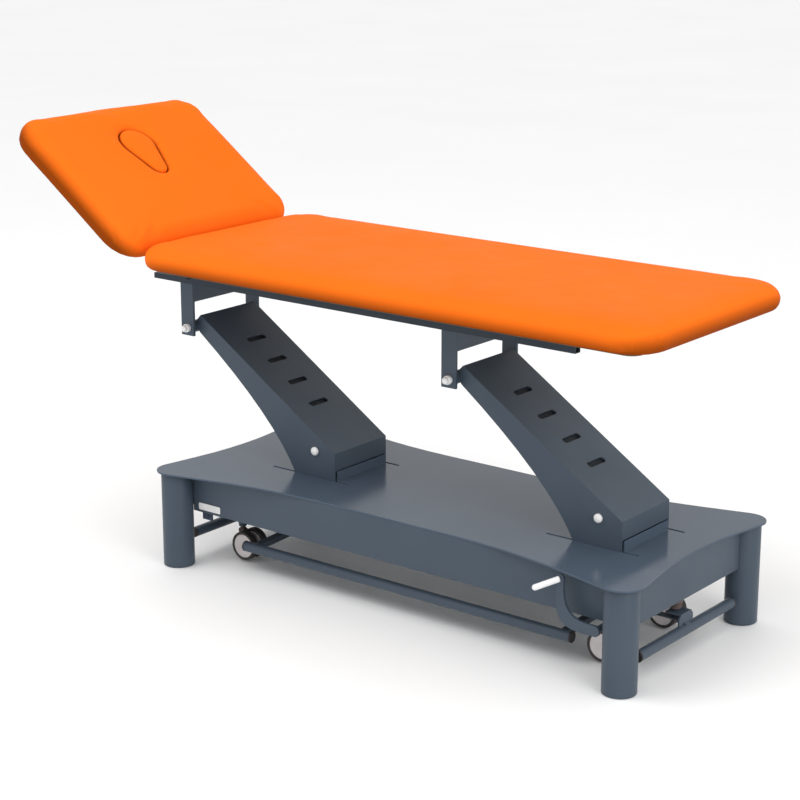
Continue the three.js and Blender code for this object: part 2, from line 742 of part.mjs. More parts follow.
for (const [endName, end] of ENDS) {
  const pivotX = UPPER_PIVOT_X + (end > 0 ? ARM_SPACING : 0);
  const x0 = pivotX - POST_OFFSET - POST_W / 2;
  const x1 = pivotX - POST_OFFSET + POST_W / 2;
  for (const [sideName, side] of SIDES) {
    const post = rectangle(x0, x1, UPPER_PIVOT_Z - POST_DROP, RAIL_BOTTOM - GAP);
    const hole = new THREE.Path();
    hole.absarc(pivotX, UPPER_PIVOT_Z, BOLT_R + GAP, 0, 2 * Math.PI, false);
    post.holes.push(hole);
    const [y0, y1] = side < 0 ? [-POST_Y - POST_T, -POST_Y] : [POST_Y, POST_Y + POST_T];
    add(topFrame, `hanger_post_${endName}_${sideName}`, slabXZ(post, y0, y1), PAINT);
  }
  const beamY = POST_Y - GAP;
  const beamTop = RAIL_BOTTOM - 1;
  const beamBottom = beamTop - BEAM_H;
  const beamSection = rectangle(x0, x1, beamBottom, beamTop);
  const beamInner = rectangle(x0 + BEAM_WALL, x1 - BEAM_WALL, beamBottom + BEAM_WALL, beamTop - BEAM_WALL);
  beamSection.holes.push(beamInner);
  add(topFrame, `hanger_beam_${endName}`, slabXZ(beamSection, -beamY, beamY), PAINT);
  const bolt = add(topFrame, `upper_bolt_${endName}`, cappedBolt(POST_Y + POST_T + GAP, 20), CAP);
  bolt.position.set(pivotX, 0, UPPER_PIVOT_Z);
}

const PAD_BOTTOM = PAD_TOP - PAD_T;
const BOARD_TOP = PAD_BOTTOM - GAP;
const BOARD_BOTTOM = BOARD_TOP - BOARD_T;
const CROSSBAR_HALF = 235;
const CROSSBAR_HALF_W = 25;
const CROSSBARS = [
  ["head", -660],
  ["foot", 330],
];

for (const [name, x] of CROSSBARS) {
  const [x0, x1] = [x - CROSSBAR_HALF_W, x + CROSSBAR_HALF_W];
  const bar = block(x0, x1, -CROSSBAR_HALF, CROSSBAR_HALF, RAIL_TOP + GAP, BOARD_BOTTOM - GAP);
  add(topFrame, `crossbar_${name}`, bar, PAINT);
}
const boardHeadX = PAD_HEAD_X + BOARD_HINGE_INSET;
const boardOutline = roundedOutline(boardHeadX, PAD_FOOT_X - BOARD_INSET, BOARD_HALF_W, BOARD_CORNER_R, 6);
add(topFrame, "main_board", slabXY(boardOutline, BOARD_BOTTOM, BOARD_TOP), PLYWOOD);
add(
  topFrame,
  "main_cushion",
  cushion({
    x0: PAD_HEAD_X,
    x1: PAD_FOOT_X,
    halfWidth: PAD_HALF_W,
    bottom: PAD_BOTTOM,
    top: PAD_TOP,
    cornerR: PAD_CORNER_R,
  }),
  UPHOLSTERY,
);

// ---------------------------------------------------------------------------------------------------
// Head section: frame, board, cushion and face plug, turned about the hinge; and its gas strut
// ---------------------------------------------------------------------------------------------------

const headSection = new THREE.Group();
headSection.position.set(HINGE_X, 0, HINGE_Z);
headSection.rotation.y = HEAD_REST_ANGLE;
topFrame.add(headSection);

const HEAD_BOTTOM = HEAD_TOP - HEAD_T;
const HEAD_BOARD_TOP = HEAD_BOTTOM - GAP;
const HEAD_BOARD_BOTTOM = HEAD_BOARD_TOP - HEAD_BOARD_T;
const HEAD_FRAME_TOP = HEAD_BOARD_BOTTOM - GAP;
const HEAD_FRAME_H = 20;

function plugOutline(grow) {
  return taperedPill(PLUG_WIDE_X, PLUG_Y, PLUG_WIDE_R + grow, PLUG_NARROW_X, PLUG_Y, PLUG_NARROW_R + grow);
}

function headCushion() {
  const pad = cushion({
    x0: HEAD_START - HEAD_LENGTH,
    x1: HEAD_START,
    halfWidth: PAD_HALF_W,
    bottom: HEAD_BOTTOM,
    top: HEAD_TOP,
    cornerR: HEAD_CORNER_R,
  });
  return cut(pad, slabXY(plugOutline(PLUG_GAP), HEAD_BOTTOM - 10, HEAD_TOP + 10, 10));
}

function headBoard() {
  const farX = HEAD_START - HEAD_LENGTH + BOARD_INSET;
  const outline = roundedOutline(farX, HEAD_START - BOARD_HINGE_INSET, BOARD_HALF_W, BOARD_CORNER_R, 6);
  outline.holes.push(plugOutline(-8));
  return slabXY(outline, HEAD_BOARD_BOTTOM, HEAD_BOARD_TOP, 10);
}

// Two side bars, a cross tube on the hinge axis, a tie bar, and the strut's crank with its pin.
function headFrame() {
  const barY = 95;
  const barHalfW = 12;
  const top = HEAD_FRAME_TOP;
  const bars = [-1, 1].map((side) =>
    block(-430, 0, side * barY - barHalfW, side * barY + barHalfW, top - HEAD_FRAME_H, top),
  );
  const tie = block(-240, -212, -barY, barY, top - HEAD_FRAME_H, top);
  const hingeTube = rodY(11, -107, 107, 0, 0);
  const hingePin = rodY(HINGE_PIN_R, -RAIL_Y - 12, RAIL_Y + 12, 0, 0, 16);
  const pinX = STRUT_CRANK_R * Math.sin(STRUT_CRANK_MID);
  const pinZ = -STRUT_CRANK_R * Math.cos(STRUT_CRANK_MID);
  const crank = slabXZ(taperedPill(0, 0, 13, pinX, pinZ, 7.5), -4, 4);
  const crankPin = rodY(STRUT_PIN_R, -14, 14, pinX, pinZ, 10);
  return join(...bars, tie, hingeTube, hingePin, crank, crankPin);
}

add(headSection, "head_frame", headFrame(), PAINT);
add(headSection, "head_board", headBoard(), PLYWOOD);
add(headSection, "head_cushion", headCushion(), UPHOLSTERY);
add(headSection, "face_plug", slabXY(plugOutline(0), HEAD_BOTTOM + GAP, HEAD_TOP, 10), UPHOLSTERY);

const strutLean = HEAD_REST_ANGLE - STRUT_CRANK_MID;
const strutPinX = HINGE_X - STRUT_CRANK_R * Math.sin(strutLean);
const STRUT_HALF_SWING = THREE.MathUtils.degToRad(30);
const strutLowZ = HINGE_Z - STRUT_CRANK_R;
const strutRise = STRUT_CRANK_R * (1 - Math.cos(STRUT_HALF_SWING));
const STRUT_Z = strutLowZ + strutRise / 2;
const STRUT_BODY_R = 11;
const STRUT_BODY_START = -690;
const STRUT_BODY_END = -470;
const STRUT_ROD_R = 5;

// The strut's rod ends in a slotted fork round the crank pin.
function strutRod() {
  const plate = rectangle(strutPinX - 10, strutPinX + 24, strutLowZ - 9, strutLowZ + strutRise + 9);
  plate.holes.push(pill(strutPinX, strutLowZ, strutPinX, strutLowZ + strutRise, STRUT_PIN_R + 0.9));
  const near = slabXZ(plate, -11, -6.5);
  const far = slabXZ(plate, 6.5, 11);
  const bridge = block(strutPinX + 15, strutPinX + 24, -8, 8, STRUT_Z - 7, STRUT_Z + 7);
  return join(near, far, bridge, rodX(STRUT_ROD_R, strutPinX + 20, STRUT_BODY_START + 90, 0, STRUT_Z, 12));
}

// Gas cylinder, clamped under the head-end crossbar.
function strutCylinder() {
  const tube = rodX(STRUT_BODY_R, STRUT_BODY_START, STRUT_BODY_END, 0, STRUT_Z, 20);
  const clamp = block(-672, -648, -15, 15, STRUT_Z, RAIL_TOP);
  const bore = rodX(STRUT_ROD_R + 0.6, STRUT_BODY_START - 1, STRUT_BODY_END - 10, 0, STRUT_Z, 12);
  return cut(join(tube, clamp), bore);
}

add(topFrame, "strut_cylinder", strutCylinder(), DARK_PLASTIC);
add(couch, "strut_rod", strutRod(), ZINC);

// ---------------------------------------------------------------------------------------------------
// Castor lift: pedal axle, second axle, link rod, and a carriage with two castors at each end
// ---------------------------------------------------------------------------------------------------

const LOBE_Y = 60;
const LOBE_T = 8;
const LOBE_REACH = AXLE_X - CASTOR_X;
const LOBE_TIP_R = 10;
const AXLE_END_Y = 200;

// The parts both axles share: the shaft, two lobes that press on the carriage, and the link's crank.
function liftAxle(end, shaftStart, crankUp) {
  const x = end * AXLE_X;
  const pinZ = AXLE_Z + (crankUp ? LINK_CRANK : -LINK_CRANK);
  const lobe = pill(x, AXLE_Z, x - end * LOBE_REACH, AXLE_Z, LOBE_TIP_R);
  const crank = taperedPill(x, AXLE_Z, 12, x, pinZ, 8);
  return [
    rodY(AXLE_R, shaftStart, AXLE_END_Y, x, AXLE_Z),
    slabXZ(lobe, -LOBE_Y - LOBE_T / 2, -LOBE_Y + LOBE_T / 2),
    slabXZ(lobe, LOBE_Y - LOBE_T / 2, LOBE_Y + LOBE_T / 2),
    slabXZ(crank, LINK_Y - 8, LINK_Y - 2),
    rodY(BAR_PIN_R, LINK_Y - 4, LINK_Y + 9, x, pinZ, 10),
  ];
}

const LEVER_BACK = -276;
const LEVER_FRONT = -283;
const LEVER_BOSS_R = 12.5;

// The J-shaped pedal lever in front of the skirt.
function pedalLever() {
  const shape = new THREE.Shape();
  shape.moveTo(499, 232);
  shape.lineTo(499, 172);
  shape.quadraticCurveTo(502, 121, 556, 120);
  shape.lineTo(AXLE_X, AXLE_Z - LEVER_BOSS_R);
  shape.absarc(AXLE_X, AXLE_Z, LEVER_BOSS_R, -Math.PI / 2, Math.PI / 2, false);
  shape.lineTo(580, AXLE_Z + LEVER_BOSS_R);
  shape.quadraticCurveTo(520, 144, 518, 205);
  shape.lineTo(518, 232);
  shape.absarc(508.5, 232, 9.5, 0, Math.PI, false);
  return slabXZ(shape, LEVER_FRONT, LEVER_BACK);
}

// The pedal pin: a stub on the lever, then a rod that leans out and down to a round end.
function pedalPin() {
  const pinR = 7;
  const start = new THREE.Vector3(508.5, LEVER_FRONT - 6.5, 232);
  const tip = new THREE.Vector3(467, -317, 212);
  const along = tip.clone().sub(start);
  const turn = new THREE.Quaternion().setFromUnitVectors(new THREE.Vector3(0, 1, 0), along.clone().normalize());
  const middle = start.clone().lerp(tip, 0.5);
  const rod = new THREE.CapsuleGeometry(pinR, along.length(), 3, 12).applyQuaternion(turn);
  rod.translate(middle.x, middle.y, middle.z);
  const stub = rodY(pinR, start.y - 4, LEVER_FRONT - GAP, start.x, start.z, 16);
  const behind = block(400, 600, LEVER_FRONT - GAP, -200, 150, 300);
  return cut(join(rod, stub), behind);
}

const CARRIAGE_TOP = AXLE_Z - LOBE_TIP_R - 0.6;
const CARRIAGE_H = 12;
const CARRIAGE_BOTTOM = CARRIAGE_TOP - CARRIAGE_H;
const SOCKET_BOTTOM = 84;
const STEM_R = 5.5;
const GUIDE_TOP = 225;

// Cross beam with a tapered castor socket near each end and two guide pins that run in the sleeves.
function carriage(end) {
  const x = end * CASTOR_X;
  const pieces = [block(x - 15, x + 15, -152, 152, CARRIAGE_BOTTOM, CARRIAGE_TOP)];
  const bores = [];
  for (const side of [-1, 1]) {
    const socket = lathe(
      [
        [0, SOCKET_BOTTOM],
        [10, SOCKET_BOTTOM],
        [14, CARRIAGE_BOTTOM + 1],
        [0, CARRIAGE_BOTTOM + 1],
      ],
      20,
    );
    pieces.push(socket.translate(x, side * CASTOR_Y, 0));
    pieces.push(rodZ(GUIDE_R, CARRIAGE_TOP - 1, GUIDE_TOP, x, side * GUIDE_Y, 12));
    bores.push(rodZ(STEM_R + BOLT_CLEARANCE, SOCKET_BOTTOM - 1, CARRIAGE_TOP - 6, x, side * CASTOR_Y, 16));
  }
  return cut(join(...pieces), ...bores);
}

// A diagonal flat bar whose slotted ends take the two axles' crank pins.
function linkRod() {
  const high = AXLE_Z + LINK_CRANK;
  const low = AXLE_Z - LINK_CRANK;
  const bar = slabXZ(pill(-AXLE_X, low, AXLE_X, high, 11), LINK_Y, LINK_Y + 6);
  const slotR = BAR_PIN_R + 1;
  const footSlot = slabXZ(pill(AXLE_X, high - 4, AXLE_X, high, slotR), LINK_Y - 1, LINK_Y + 7);
  const headSlot = slabXZ(pill(-AXLE_X, low, -AXLE_X, low + 4, slotR), LINK_Y - 1, LINK_Y + 7);
  return cut(bar, footSlot, headSlot);
}

add(couch, "castor_pedal", join(...liftAxle(1, LEVER_FRONT + 2, true), pedalLever()), PAINT);
add(couch, "pedal_pin", pedalPin(), CAP);
add(couch, "castor_axle", join(...liftAxle(-1, -228, false)), PAINT);
add(couch, "link_rod", linkRod(), ZINC);

// The castor's body stands between its wheels: a plate from the axle up to the swivel stem.
function castorBody(end) {
  const axleX = -end * CASTOR_TRAIL;
  const plate = slabXZ(taperedPill(axleX, WHEEL_Z, 22, 0, SOCKET_BOTTOM - 12, 9), -6.5, 6.5);
  const stem = rodZ(STEM_R, SOCKET_BOTTOM - 12, CARRIAGE_TOP - 9, 0, 0, 16);
  return cut(join(plate, stem), rodY(5.5, -20, 20, axleX, WHEEL_Z, 16));
}

// Two wheels on one axle, each with a dished outer face.
function castorWheels() {
  const inner = CASTOR_HALF_W - WHEEL_W;
  const half = [
    [5, inner],
    [WHEEL_R - 4, inner],
    [WHEEL_R, inner + 4],
    [WHEEL_R, CASTOR_HALF_W - 4],
    [WHEEL_R - 4, CASTOR_HALF_W],
    [0, CASTOR_HALF_W],
  ];
  const mirrored = half.map(([r, y]) => [r, -y]).reverse();
  return new THREE.LatheGeometry([...mirrored, ...half].map(([r, y]) => new THREE.Vector2(r, y)), 24);
}

for (const [endName, end] of ENDS) {
  add(couch, `castor_carriage_${endName}`, carriage(end), PAINT);
  for (const [sideName, side] of SIDES) {
    const body = add(couch, `castor_body_${endName}_${sideName}`, castorBody(end), BROWN_RUBBER);
    body.position.set(end * CASTOR_X, side * CASTOR_Y, 0);
    const wheels = add(couch, `castor_wheels_${endName}_${sideName}`, castorWheels(), GREY_PLASTIC);
    wheels.position.set(end * (CASTOR_X - CASTOR_TRAIL), side * CASTOR_Y, WHEEL_Z);
  }
}

// ---------------------------------------------------------------------------------------------------
// Foot-control bars
// ---------------------------------------------------------------------------------------------------

const SIDE_ARM_HALF_W = 10;
const SIDE_ARM_T = 14;
const ARM_RISE = 6;

// A long bar on two cranked arms that go inwards and up to pins under the plate.
function sideBar(side) {
  const arm = new THREE.Shape();
  arm.moveTo(side * SIDE_BAR_Y, BAR_Z - SIDE_ARM_T / 2);
  arm.lineTo(side * (SIDE_PIVOT_Y - 8), BAR_Z + ARM_RISE - SIDE_ARM_T / 2);
  arm.lineTo(side * (SIDE_PIVOT_Y - 8), BAR_PIVOT_Z + 8);
  arm.lineTo(side * (SIDE_PIVOT_Y + 8), BAR_PIVOT_Z + 8);
  arm.lineTo(side * (SIDE_PIVOT_Y + 8), BAR_Z + ARM_RISE + SIDE_ARM_T / 2);
  arm.lineTo(side * SIDE_BAR_Y, BAR_Z + SIDE_ARM_T / 2);
  arm.closePath();
  const pieces = [rodX(BAR_R, -SIDE_BAR_HALF, SIDE_BAR_HALF, side * SIDE_BAR_Y, BAR_Z, 32)];
  for (const [, end] of ENDS) {
    const x = end * SIDE_ARM_X;
    pieces.push(runX(arm, x - SIDE_ARM_HALF_W, x + SIDE_ARM_HALF_W));
    const [x0, x1] = end > 0 ? [x, x + 22] : [x - 22, x];
    pieces.push(rodX(BAR_PIN_R, x0, x1, side * SIDE_PIVOT_Y, BAR_PIVOT_Z, 10));
  }
  return join(...pieces);
}

const TAB_TOP = 104; // the tab that works the switch above it
const TAB_T = 4;
const TAB_HALF_W = 30;
const TAB_CHAMFER = 8;

// A short bar across the end on one narrow bracket, with an upright sheet folded in under the switch.
function endBar(end) {
  const x = (value) => end * value;
  const bracket = new THREE.Shape();
  bracket.moveTo(x(END_PIVOT_X - 3), BAR_PIVOT_Z + 7);
  bracket.lineTo(x(END_PIVOT_X + 3), BAR_PIVOT_Z + 7);
  bracket.lineTo(x(END_PIVOT_X + 3), 86);
  bracket.lineTo(x(END_BAR_X - 6), 86);
  bracket.lineTo(x(END_BAR_X + 6), 78);
  bracket.lineTo(x(END_BAR_X + 6), BAR_Z);
  bracket.lineTo(x(END_BAR_X - 2), BAR_Z);
  bracket.lineTo(x(END_BAR_X - 12), 82);
  bracket.lineTo(x(END_PIVOT_X - 3), 82);
  bracket.closePath();
  const upright = new THREE.Shape();
  upright.moveTo(-TAB_HALF_W, BAR_Z + 4);
  upright.lineTo(TAB_HALF_W, BAR_Z + 4);
  upright.lineTo(TAB_HALF_W, TAB_TOP - 10);
  upright.lineTo(TAB_HALF_W - TAB_CHAMFER, TAB_TOP);
  upright.lineTo(TAB_CHAMFER - TAB_HALF_W, TAB_TOP);
  upright.lineTo(-TAB_HALF_W, TAB_TOP - 10);
  upright.closePath();
  const [outer, inner] = [x(END_BAR_X), x(END_BAR_X - TAB_T)];
  const tabStart = x(SWITCH_X - SWITCH_R + 5);
  const tabHalfW = TAB_HALF_W - TAB_CHAMFER;
  const [tab0, tab1] = [Math.min(tabStart, outer), Math.max(tabStart, outer)];
  return join(
    slabXZ(bracket, -END_BRACKET_HALF_W, END_BRACKET_HALF_W),
    runX(upright, Math.min(outer, inner), Math.max(outer, inner)),
    block(tab0, tab1, -tabHalfW, tabHalfW, TAB_TOP - TAB_T, TAB_TOP),
    rodY(BAR_R, -END_BAR_HALF, END_BAR_HALF, x(END_BAR_X), BAR_Z, 32),
    rodY(BAR_PIN_R, -END_LUG_Y - 4, END_LUG_Y + 4, x(END_PIVOT_X), BAR_PIVOT_Z, 10),
  );
}

for (const [name, side] of SIDES) {
  add(couch, `foot_bar_${name}`, sideBar(side), PAINT);
}
for (const [name, end] of ENDS) {
  add(couch, `foot_bar_${name}`, endBar(end), PAINT);
}

// ---------------------------------------------------------------------------------------------------
// Origin: the middle of the footprint, from the raised head cushion's tip to the foot end
// ---------------------------------------------------------------------------------------------------

couch.updateMatrixWorld(true);
const bounds = new THREE.Box3().setFromObject(couch, true);
couch.position.x = -(bounds.min.x + bounds.max.x) / 2;

const group = new THREE.Group();
group.add(couch);
export default group;
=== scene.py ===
"""Examination couch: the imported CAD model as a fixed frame, with its upholstery, castors and finishes."""
import json
import math

import bmesh
import bpy
from mathutils import Matrix, Vector


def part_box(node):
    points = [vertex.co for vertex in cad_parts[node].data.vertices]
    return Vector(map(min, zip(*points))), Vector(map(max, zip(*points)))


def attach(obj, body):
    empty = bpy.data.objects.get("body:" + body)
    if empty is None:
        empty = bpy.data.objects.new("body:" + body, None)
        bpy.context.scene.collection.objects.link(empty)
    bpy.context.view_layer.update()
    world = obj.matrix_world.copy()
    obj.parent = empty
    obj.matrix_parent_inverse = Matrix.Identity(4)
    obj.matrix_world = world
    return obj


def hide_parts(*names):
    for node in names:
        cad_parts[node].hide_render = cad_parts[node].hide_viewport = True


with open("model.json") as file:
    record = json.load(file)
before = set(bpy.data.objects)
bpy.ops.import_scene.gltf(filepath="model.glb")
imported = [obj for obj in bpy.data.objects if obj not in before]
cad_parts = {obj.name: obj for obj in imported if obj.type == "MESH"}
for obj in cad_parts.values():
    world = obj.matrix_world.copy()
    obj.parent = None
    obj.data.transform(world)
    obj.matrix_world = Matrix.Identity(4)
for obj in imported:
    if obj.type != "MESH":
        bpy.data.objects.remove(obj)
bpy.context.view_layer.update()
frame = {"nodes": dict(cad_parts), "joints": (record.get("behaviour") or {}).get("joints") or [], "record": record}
NODES = frame["nodes"]
JOINTS = {joint["name"]: joint for joint in frame["joints"]}
SCENE = bpy.context.scene

ENDS = ("head", "foot")
SIDES = ("front", "rear")
MM = 0.001


def centre(node):
    low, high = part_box(node)
    return (low + high) / 2


# ------------------------------------------------------------------------------------------------
# Camera, floor and light
# ------------------------------------------------------------------------------------------------

CAMERA_LENS = 91.96  # mm, on a sensor 36 mm wide
CAMERA_AZIMUTH = math.radians(38.0796)  # round from the front towards the foot end
CAMERA_ELEVATION = math.radians(15.5749)
CAMERA_PLACE = Vector((2.80756, -3.77980, 1.79692))  # from the middle of the base


def make_camera():
    data = bpy.data.cameras.new("camera")
    data.sensor_width = 36
    data.lens = CAMERA_LENS
    data.clip_end = 100
    camera = bpy.data.objects.new("camera", data)
    SCENE.collection.objects.link(camera)
    back = Vector((
        math.sin(CAMERA_AZIMUTH) * math.cos(CAMERA_ELEVATION),
        -math.cos(CAMERA_AZIMUTH) * math.cos(CAMERA_ELEVATION),
        math.sin(CAMERA_ELEVATION),
    ))
    base_middle = (centre("leg_head_front").x + centre("leg_foot_front").x) / 2
    camera.location = CAMERA_PLACE + Vector((base_middle, 0, 0))
    camera.rotation_mode = "QUATERNION"
    camera.rotation_quaternion = (-back).to_track_quat("-Z", "Y")
    SCENE.camera = camera


def area_light(name, place, target, size, energy):
    data = bpy.data.lights.new(name, "AREA")
    data.shape = "DISK"
    data.size = size
    data.energy = energy
    light = bpy.data.objects.new(name, data)
    SCENE.collection.objects.link(light)
    light.location = place
    light.rotation_mode = "QUATERNION"
    light.rotation_quaternion = (Vector(target) - Vector(place)).to_track_quat("-Z", "Y")


FLOOR_RADIUS = 40
FLOOR_DROP = 0.0006  # below the legs' feet, so that the two faces don't meet


def make_studio():
    world = bpy.data.worlds.new("studio")
    SCENE.world = world
    world.use_nodes = True
    background = world.node_tree.nodes["Background"]
    background.inputs["Color"].default_value = (1.0, 1.0, 1.0, 1.0)
    background.inputs["Strength"].default_value = 1.0
    area_light("key", (-1.6, -2.2, 4.6), (0.2, 0.0, 0.4), 3.2, 75)
    area_light("fill", (4.2, -1.4, 2.2), (0.6, 0.0, 0.4), 2.6, 60)
    mesh = bpy.data.meshes.new("floor")
    shape = bmesh.new()
    bmesh.ops.create_circle(shape, cap_ends=True, segments=96, radius=FLOOR_RADIUS)
    bmesh.ops.translate(shape, verts=shape.verts, vec=(0, 0, -FLOOR_DROP))
    shape.to_mesh(mesh)
    shape.free()
    floor = bpy.data.objects.new("floor", mesh)
    SCENE.collection.objects.link(floor)
    mesh.materials.append(floor_finish())
    SCENE.view_settings.view_transform = "Standard"


# ------------------------------------------------------------------------------------------------
# Materials
# ------------------------------------------------------------------------------------------------

def new_material(name):
    material = bpy.data.materials.new(name)
    material.use_nodes = True
    tree = material.node_tree
    return material, tree, tree.nodes["Principled BSDF"]


def node(tree, kind, values=None, **settings):
    made = tree.nodes.new("ShaderNode" + kind)
    for key, value in settings.items():
        setattr(made, key, value)
    for key, value in (values or {}).items():
        if isinstance(value, bpy.types.NodeSocket):
            tree.links.new(value, made.inputs[key])
        else:
            made.inputs[key].default_value = value
    return made


def noise(tree, where, scale, detail=2.0):
    return node(tree, "TexNoise", {"Vector": where, "Scale": scale, "Detail": detail}).outputs[0]


def ramp(tree, factor, *stops):
    made = node(tree, "ValToRGB", {"Fac": factor})
    elements = made.color_ramp.elements
    while len(elements) < len(stops):
        elements.new(0.5)
    for element, (position, colour) in zip(elements, stops):
        element.position = position
        element.color = (*colour, 1.0)
    return made.outputs["Color"]


def span(tree, factor, low, high, start=0.3, end=0.7):
    values = {"Value": factor, "From Min": start, "From Max": end, "To Min": low, "To Max": high}
    return node(tree, "MapRange", values).outputs["Result"]


def dot_product(tree, first, second):
    return node(tree, "VectorMath", {0: first, 1: second}, operation="DOT_PRODUCT").outputs["Value"]


def scaled(colour, factor):
    """A colour made darker or lighter, with its alpha."""
    return (*[factor * part for part in colour], 1.0)


def blend_colour(tree, factor, first, second):
    made = node(tree, "Mix", data_type="RGBA")
    for name, value in (("Factor_Float", factor), ("A_Color", first), ("B_Color", second)):
        socket = next(s for s in made.inputs if s.identifier == name)
        if isinstance(value, bpy.types.NodeSocket):
            tree.links.new(value, socket)
        else:
            socket.default_value = value
    return next(s for s in made.outputs if s.identifier == "Result_Color")


def bump(tree, height, distance, strength, normal=None):
    values = {"Height": height, "Distance": distance, "Strength": strength}
    if normal is not None:
        values["Normal"] = normal
    return node(tree, "Bump", values).outputs["Normal"]


def object_coordinates(tree):
    return node(tree, "TexCoord").outputs["Object"]


def floor_finish():
    material, tree, shader = new_material("studio_floor")
    where = object_coordinates(tree)
    colour = ramp(tree, noise(tree, where, 0.8), (0.3, (0.91, 0.91, 0.91)), (0.7, (0.93, 0.93, 0.93)))
    tree.links.new(colour, shader.inputs["Base Color"])
    shader.inputs["Roughness"].default_value = 0.6
    shader.inputs["Specular IOR Level"].default_value = 0.2
    return material


def powder_coat(name, deep, light, smooth, rough, specular):
    """Baked-on paint: faint mottling, orange peel, and softened edges, lighter from wear and painted highlight."""
    material, tree, shader = new_material(name)
    where = object_coordinates(tree)
    mottled = ramp(tree, noise(tree, where, 6.0, 3.0), (0.3, deep), (0.7, light))
    speckle = span(tree, noise(tree, where, 900.0), 0.0, 0.22)
    flecked = blend_colour(tree, speckle, mottled, scaled(light, 1.25))
    rounded = node(tree, "Bevel", {"Radius": 0.0012}, samples=4).outputs[0]
    flat = node(tree, "NewGeometry").outputs["Normal"]
    # Lighter along the edges, in patches: partly wear and partly painted highlight.
    edge = span(tree, dot_product(tree, rounded, flat), 0.35, 0.0, 0.80, 0.985)
    edge_patches = span(tree, noise(tree, where, 60.0), 0.2, 1.0)
    edge_wear_and_highlight = node(tree, "Math", {0: edge, 1: edge_patches}, operation="MULTIPLY").outputs[0]
    colour_with_wear_and_highlight = blend_colour(tree, edge_wear_and_highlight, flecked, scaled(light, 2.1))
    tree.links.new(colour_with_wear_and_highlight, shader.inputs["Base Color"])
    smears = noise(tree, where, 9.0, 4.0)
    tree.links.new(span(tree, smears, smooth, rough), shader.inputs["Roughness"])
    peel = bump(tree, noise(tree, where, 520.0), 0.0002, 0.12, rounded)
    tree.links.new(peel, shader.inputs["Normal"])
    shader.inputs["Specular IOR Level"].default_value = specular
    return material


def leatherette(name, deep, light, painted_light_from):
    """Coated cloth: fine pebbled grain over slightly uneven foam, and painted shade: darker where it turns
    away from a painted light direction, given in the pad's own frame."""
    material, tree, shader = new_material(name)
    where = object_coordinates(tree)
    broad = ramp(tree, noise(tree, where, 3.2, 3.0), (0.3, deep), (0.7, light))
    pebbles = node(tree, "TexVoronoi", {"Vector": where, "Scale": 520.0}, feature="DISTANCE_TO_EDGE")
    pores = pebbles.outputs["Distance"]
    shaded = span(tree, pores, 0.16, 0.0, 0.0, 0.12)
    coloured = blend_colour(tree, shaded, broad, scaled(deep, 0.72))
    facing = node(tree, "TexCoord").outputs["Normal"]
    # Painted shade: the colour darkens where the surface turns away from the painted light direction.
    painted_shade_mask = span(tree, dot_product(tree, facing, painted_light_from), 1.0, 0.0, -0.9, 0.35)
    colour_with_painted_shade = blend_colour(tree, painted_shade_mask, coloured, scaled(deep, 0.30))
    tree.links.new(colour_with_painted_shade, shader.inputs["Base Color"])
    tree.links.new(span(tree, noise(tree, where, 14.0, 4.0), 0.46, 0.58), shader.inputs["Roughness"])
    foam = bump(tree, noise(tree, where, 11.0, 2.0), 0.0016, 0.35)
    creased = bump(tree, noise(tree, where, 170.0, 4.0), 0.0003, 0.25, foam)
    grain = bump(tree, pores, 0.0003, 0.45, creased)
    tree.links.new(grain, shader.inputs["Normal"])
    shader.inputs["Specular IOR Level"].default_value = 0.012
    return material


def plywood(name, tilt):
    """Birch plywood: streaked faces and layered edges darkened as painted shade, for a board turned by tilt about
    +Y.
    """
    material, tree, shader = new_material(name)
    coordinates = node(tree, "TexCoord")

    def levelled(which):
        values = {"Vector": coordinates.outputs[which], "Angle": -tilt}
        return node(tree, "VectorRotate", values, rotation_type="Y_AXIS").outputs[0]

    where, facing = levelled("Object"), levelled("Normal")
    stretched = node(tree, "Mapping", {"Vector": where, "Scale": (3.0, 60.0, 3.0)}).outputs[0]
    streaks = ramp(
        tree, noise(tree, stretched, 4.0, 6.0),
        (0.30, (0.34, 0.20, 0.09)), (0.55, (0.50, 0.33, 0.17)), (0.75, (0.60, 0.42, 0.24)),
    )
    waves = {"Vector": where, "Scale": 105.0, "Distortion": 0.6}
    plies = node(tree, "TexWave", waves, bands_direction="Z").outputs[0]
    # The edges' ply stripes are real; their darkness is painted shade under the pads.
    ply_stripes_in_painted_shade = ramp(tree, plies, (0.25, (0.08, 0.045, 0.020)), (0.60, (0.17, 0.105, 0.055)))
    up = node(tree, "SeparateXYZ", {"Vector": facing}).outputs["Z"]
    level = node(tree, "Math", {0: up}, operation="ABSOLUTE").outputs[0]
    flatness = span(tree, level, 0.0, 1.0, 0.5, 0.8)
    tree.links.new(blend_colour(tree, flatness, ply_stripes_in_painted_shade, streaks), shader.inputs["Base Color"])
    tree.links.new(span(tree, noise(tree, stretched, 9.0, 3.0), 0.55, 0.78), shader.inputs["Roughness"])
    tree.links.new(bump(tree, noise(tree, stretched, 12.0, 5.0), 0.0003, 0.3), shader.inputs["Normal"])
    shader.inputs["Specular IOR Level"].default_value = 0.3
    return material


def metal(name, deep, light, smooth, rough, along=(1.0, 1.0, 1.0)):
    """Bare or plated metal with fine lines drawn out along one direction."""
    material, tree, shader = new_material(name)
    where = node(tree, "Mapping", {"Vector": object_coordinates(tree), "Scale": along}).outputs[0]
    cloudy = ramp(tree, noise(tree, where, 34.0, 4.0), (0.3, deep), (0.7, light))
    tree.links.new(cloudy, shader.inputs["Base Color"])
    tree.links.new(span(tree, noise(tree, where, 210.0, 3.0), smooth, rough), shader.inputs["Roughness"])
    tree.links.new(bump(tree, noise(tree, where, 640.0), 0.0001, 0.2), shader.inputs["Normal"])
    shader.inputs["Metallic"].default_value = 1.0
    return material


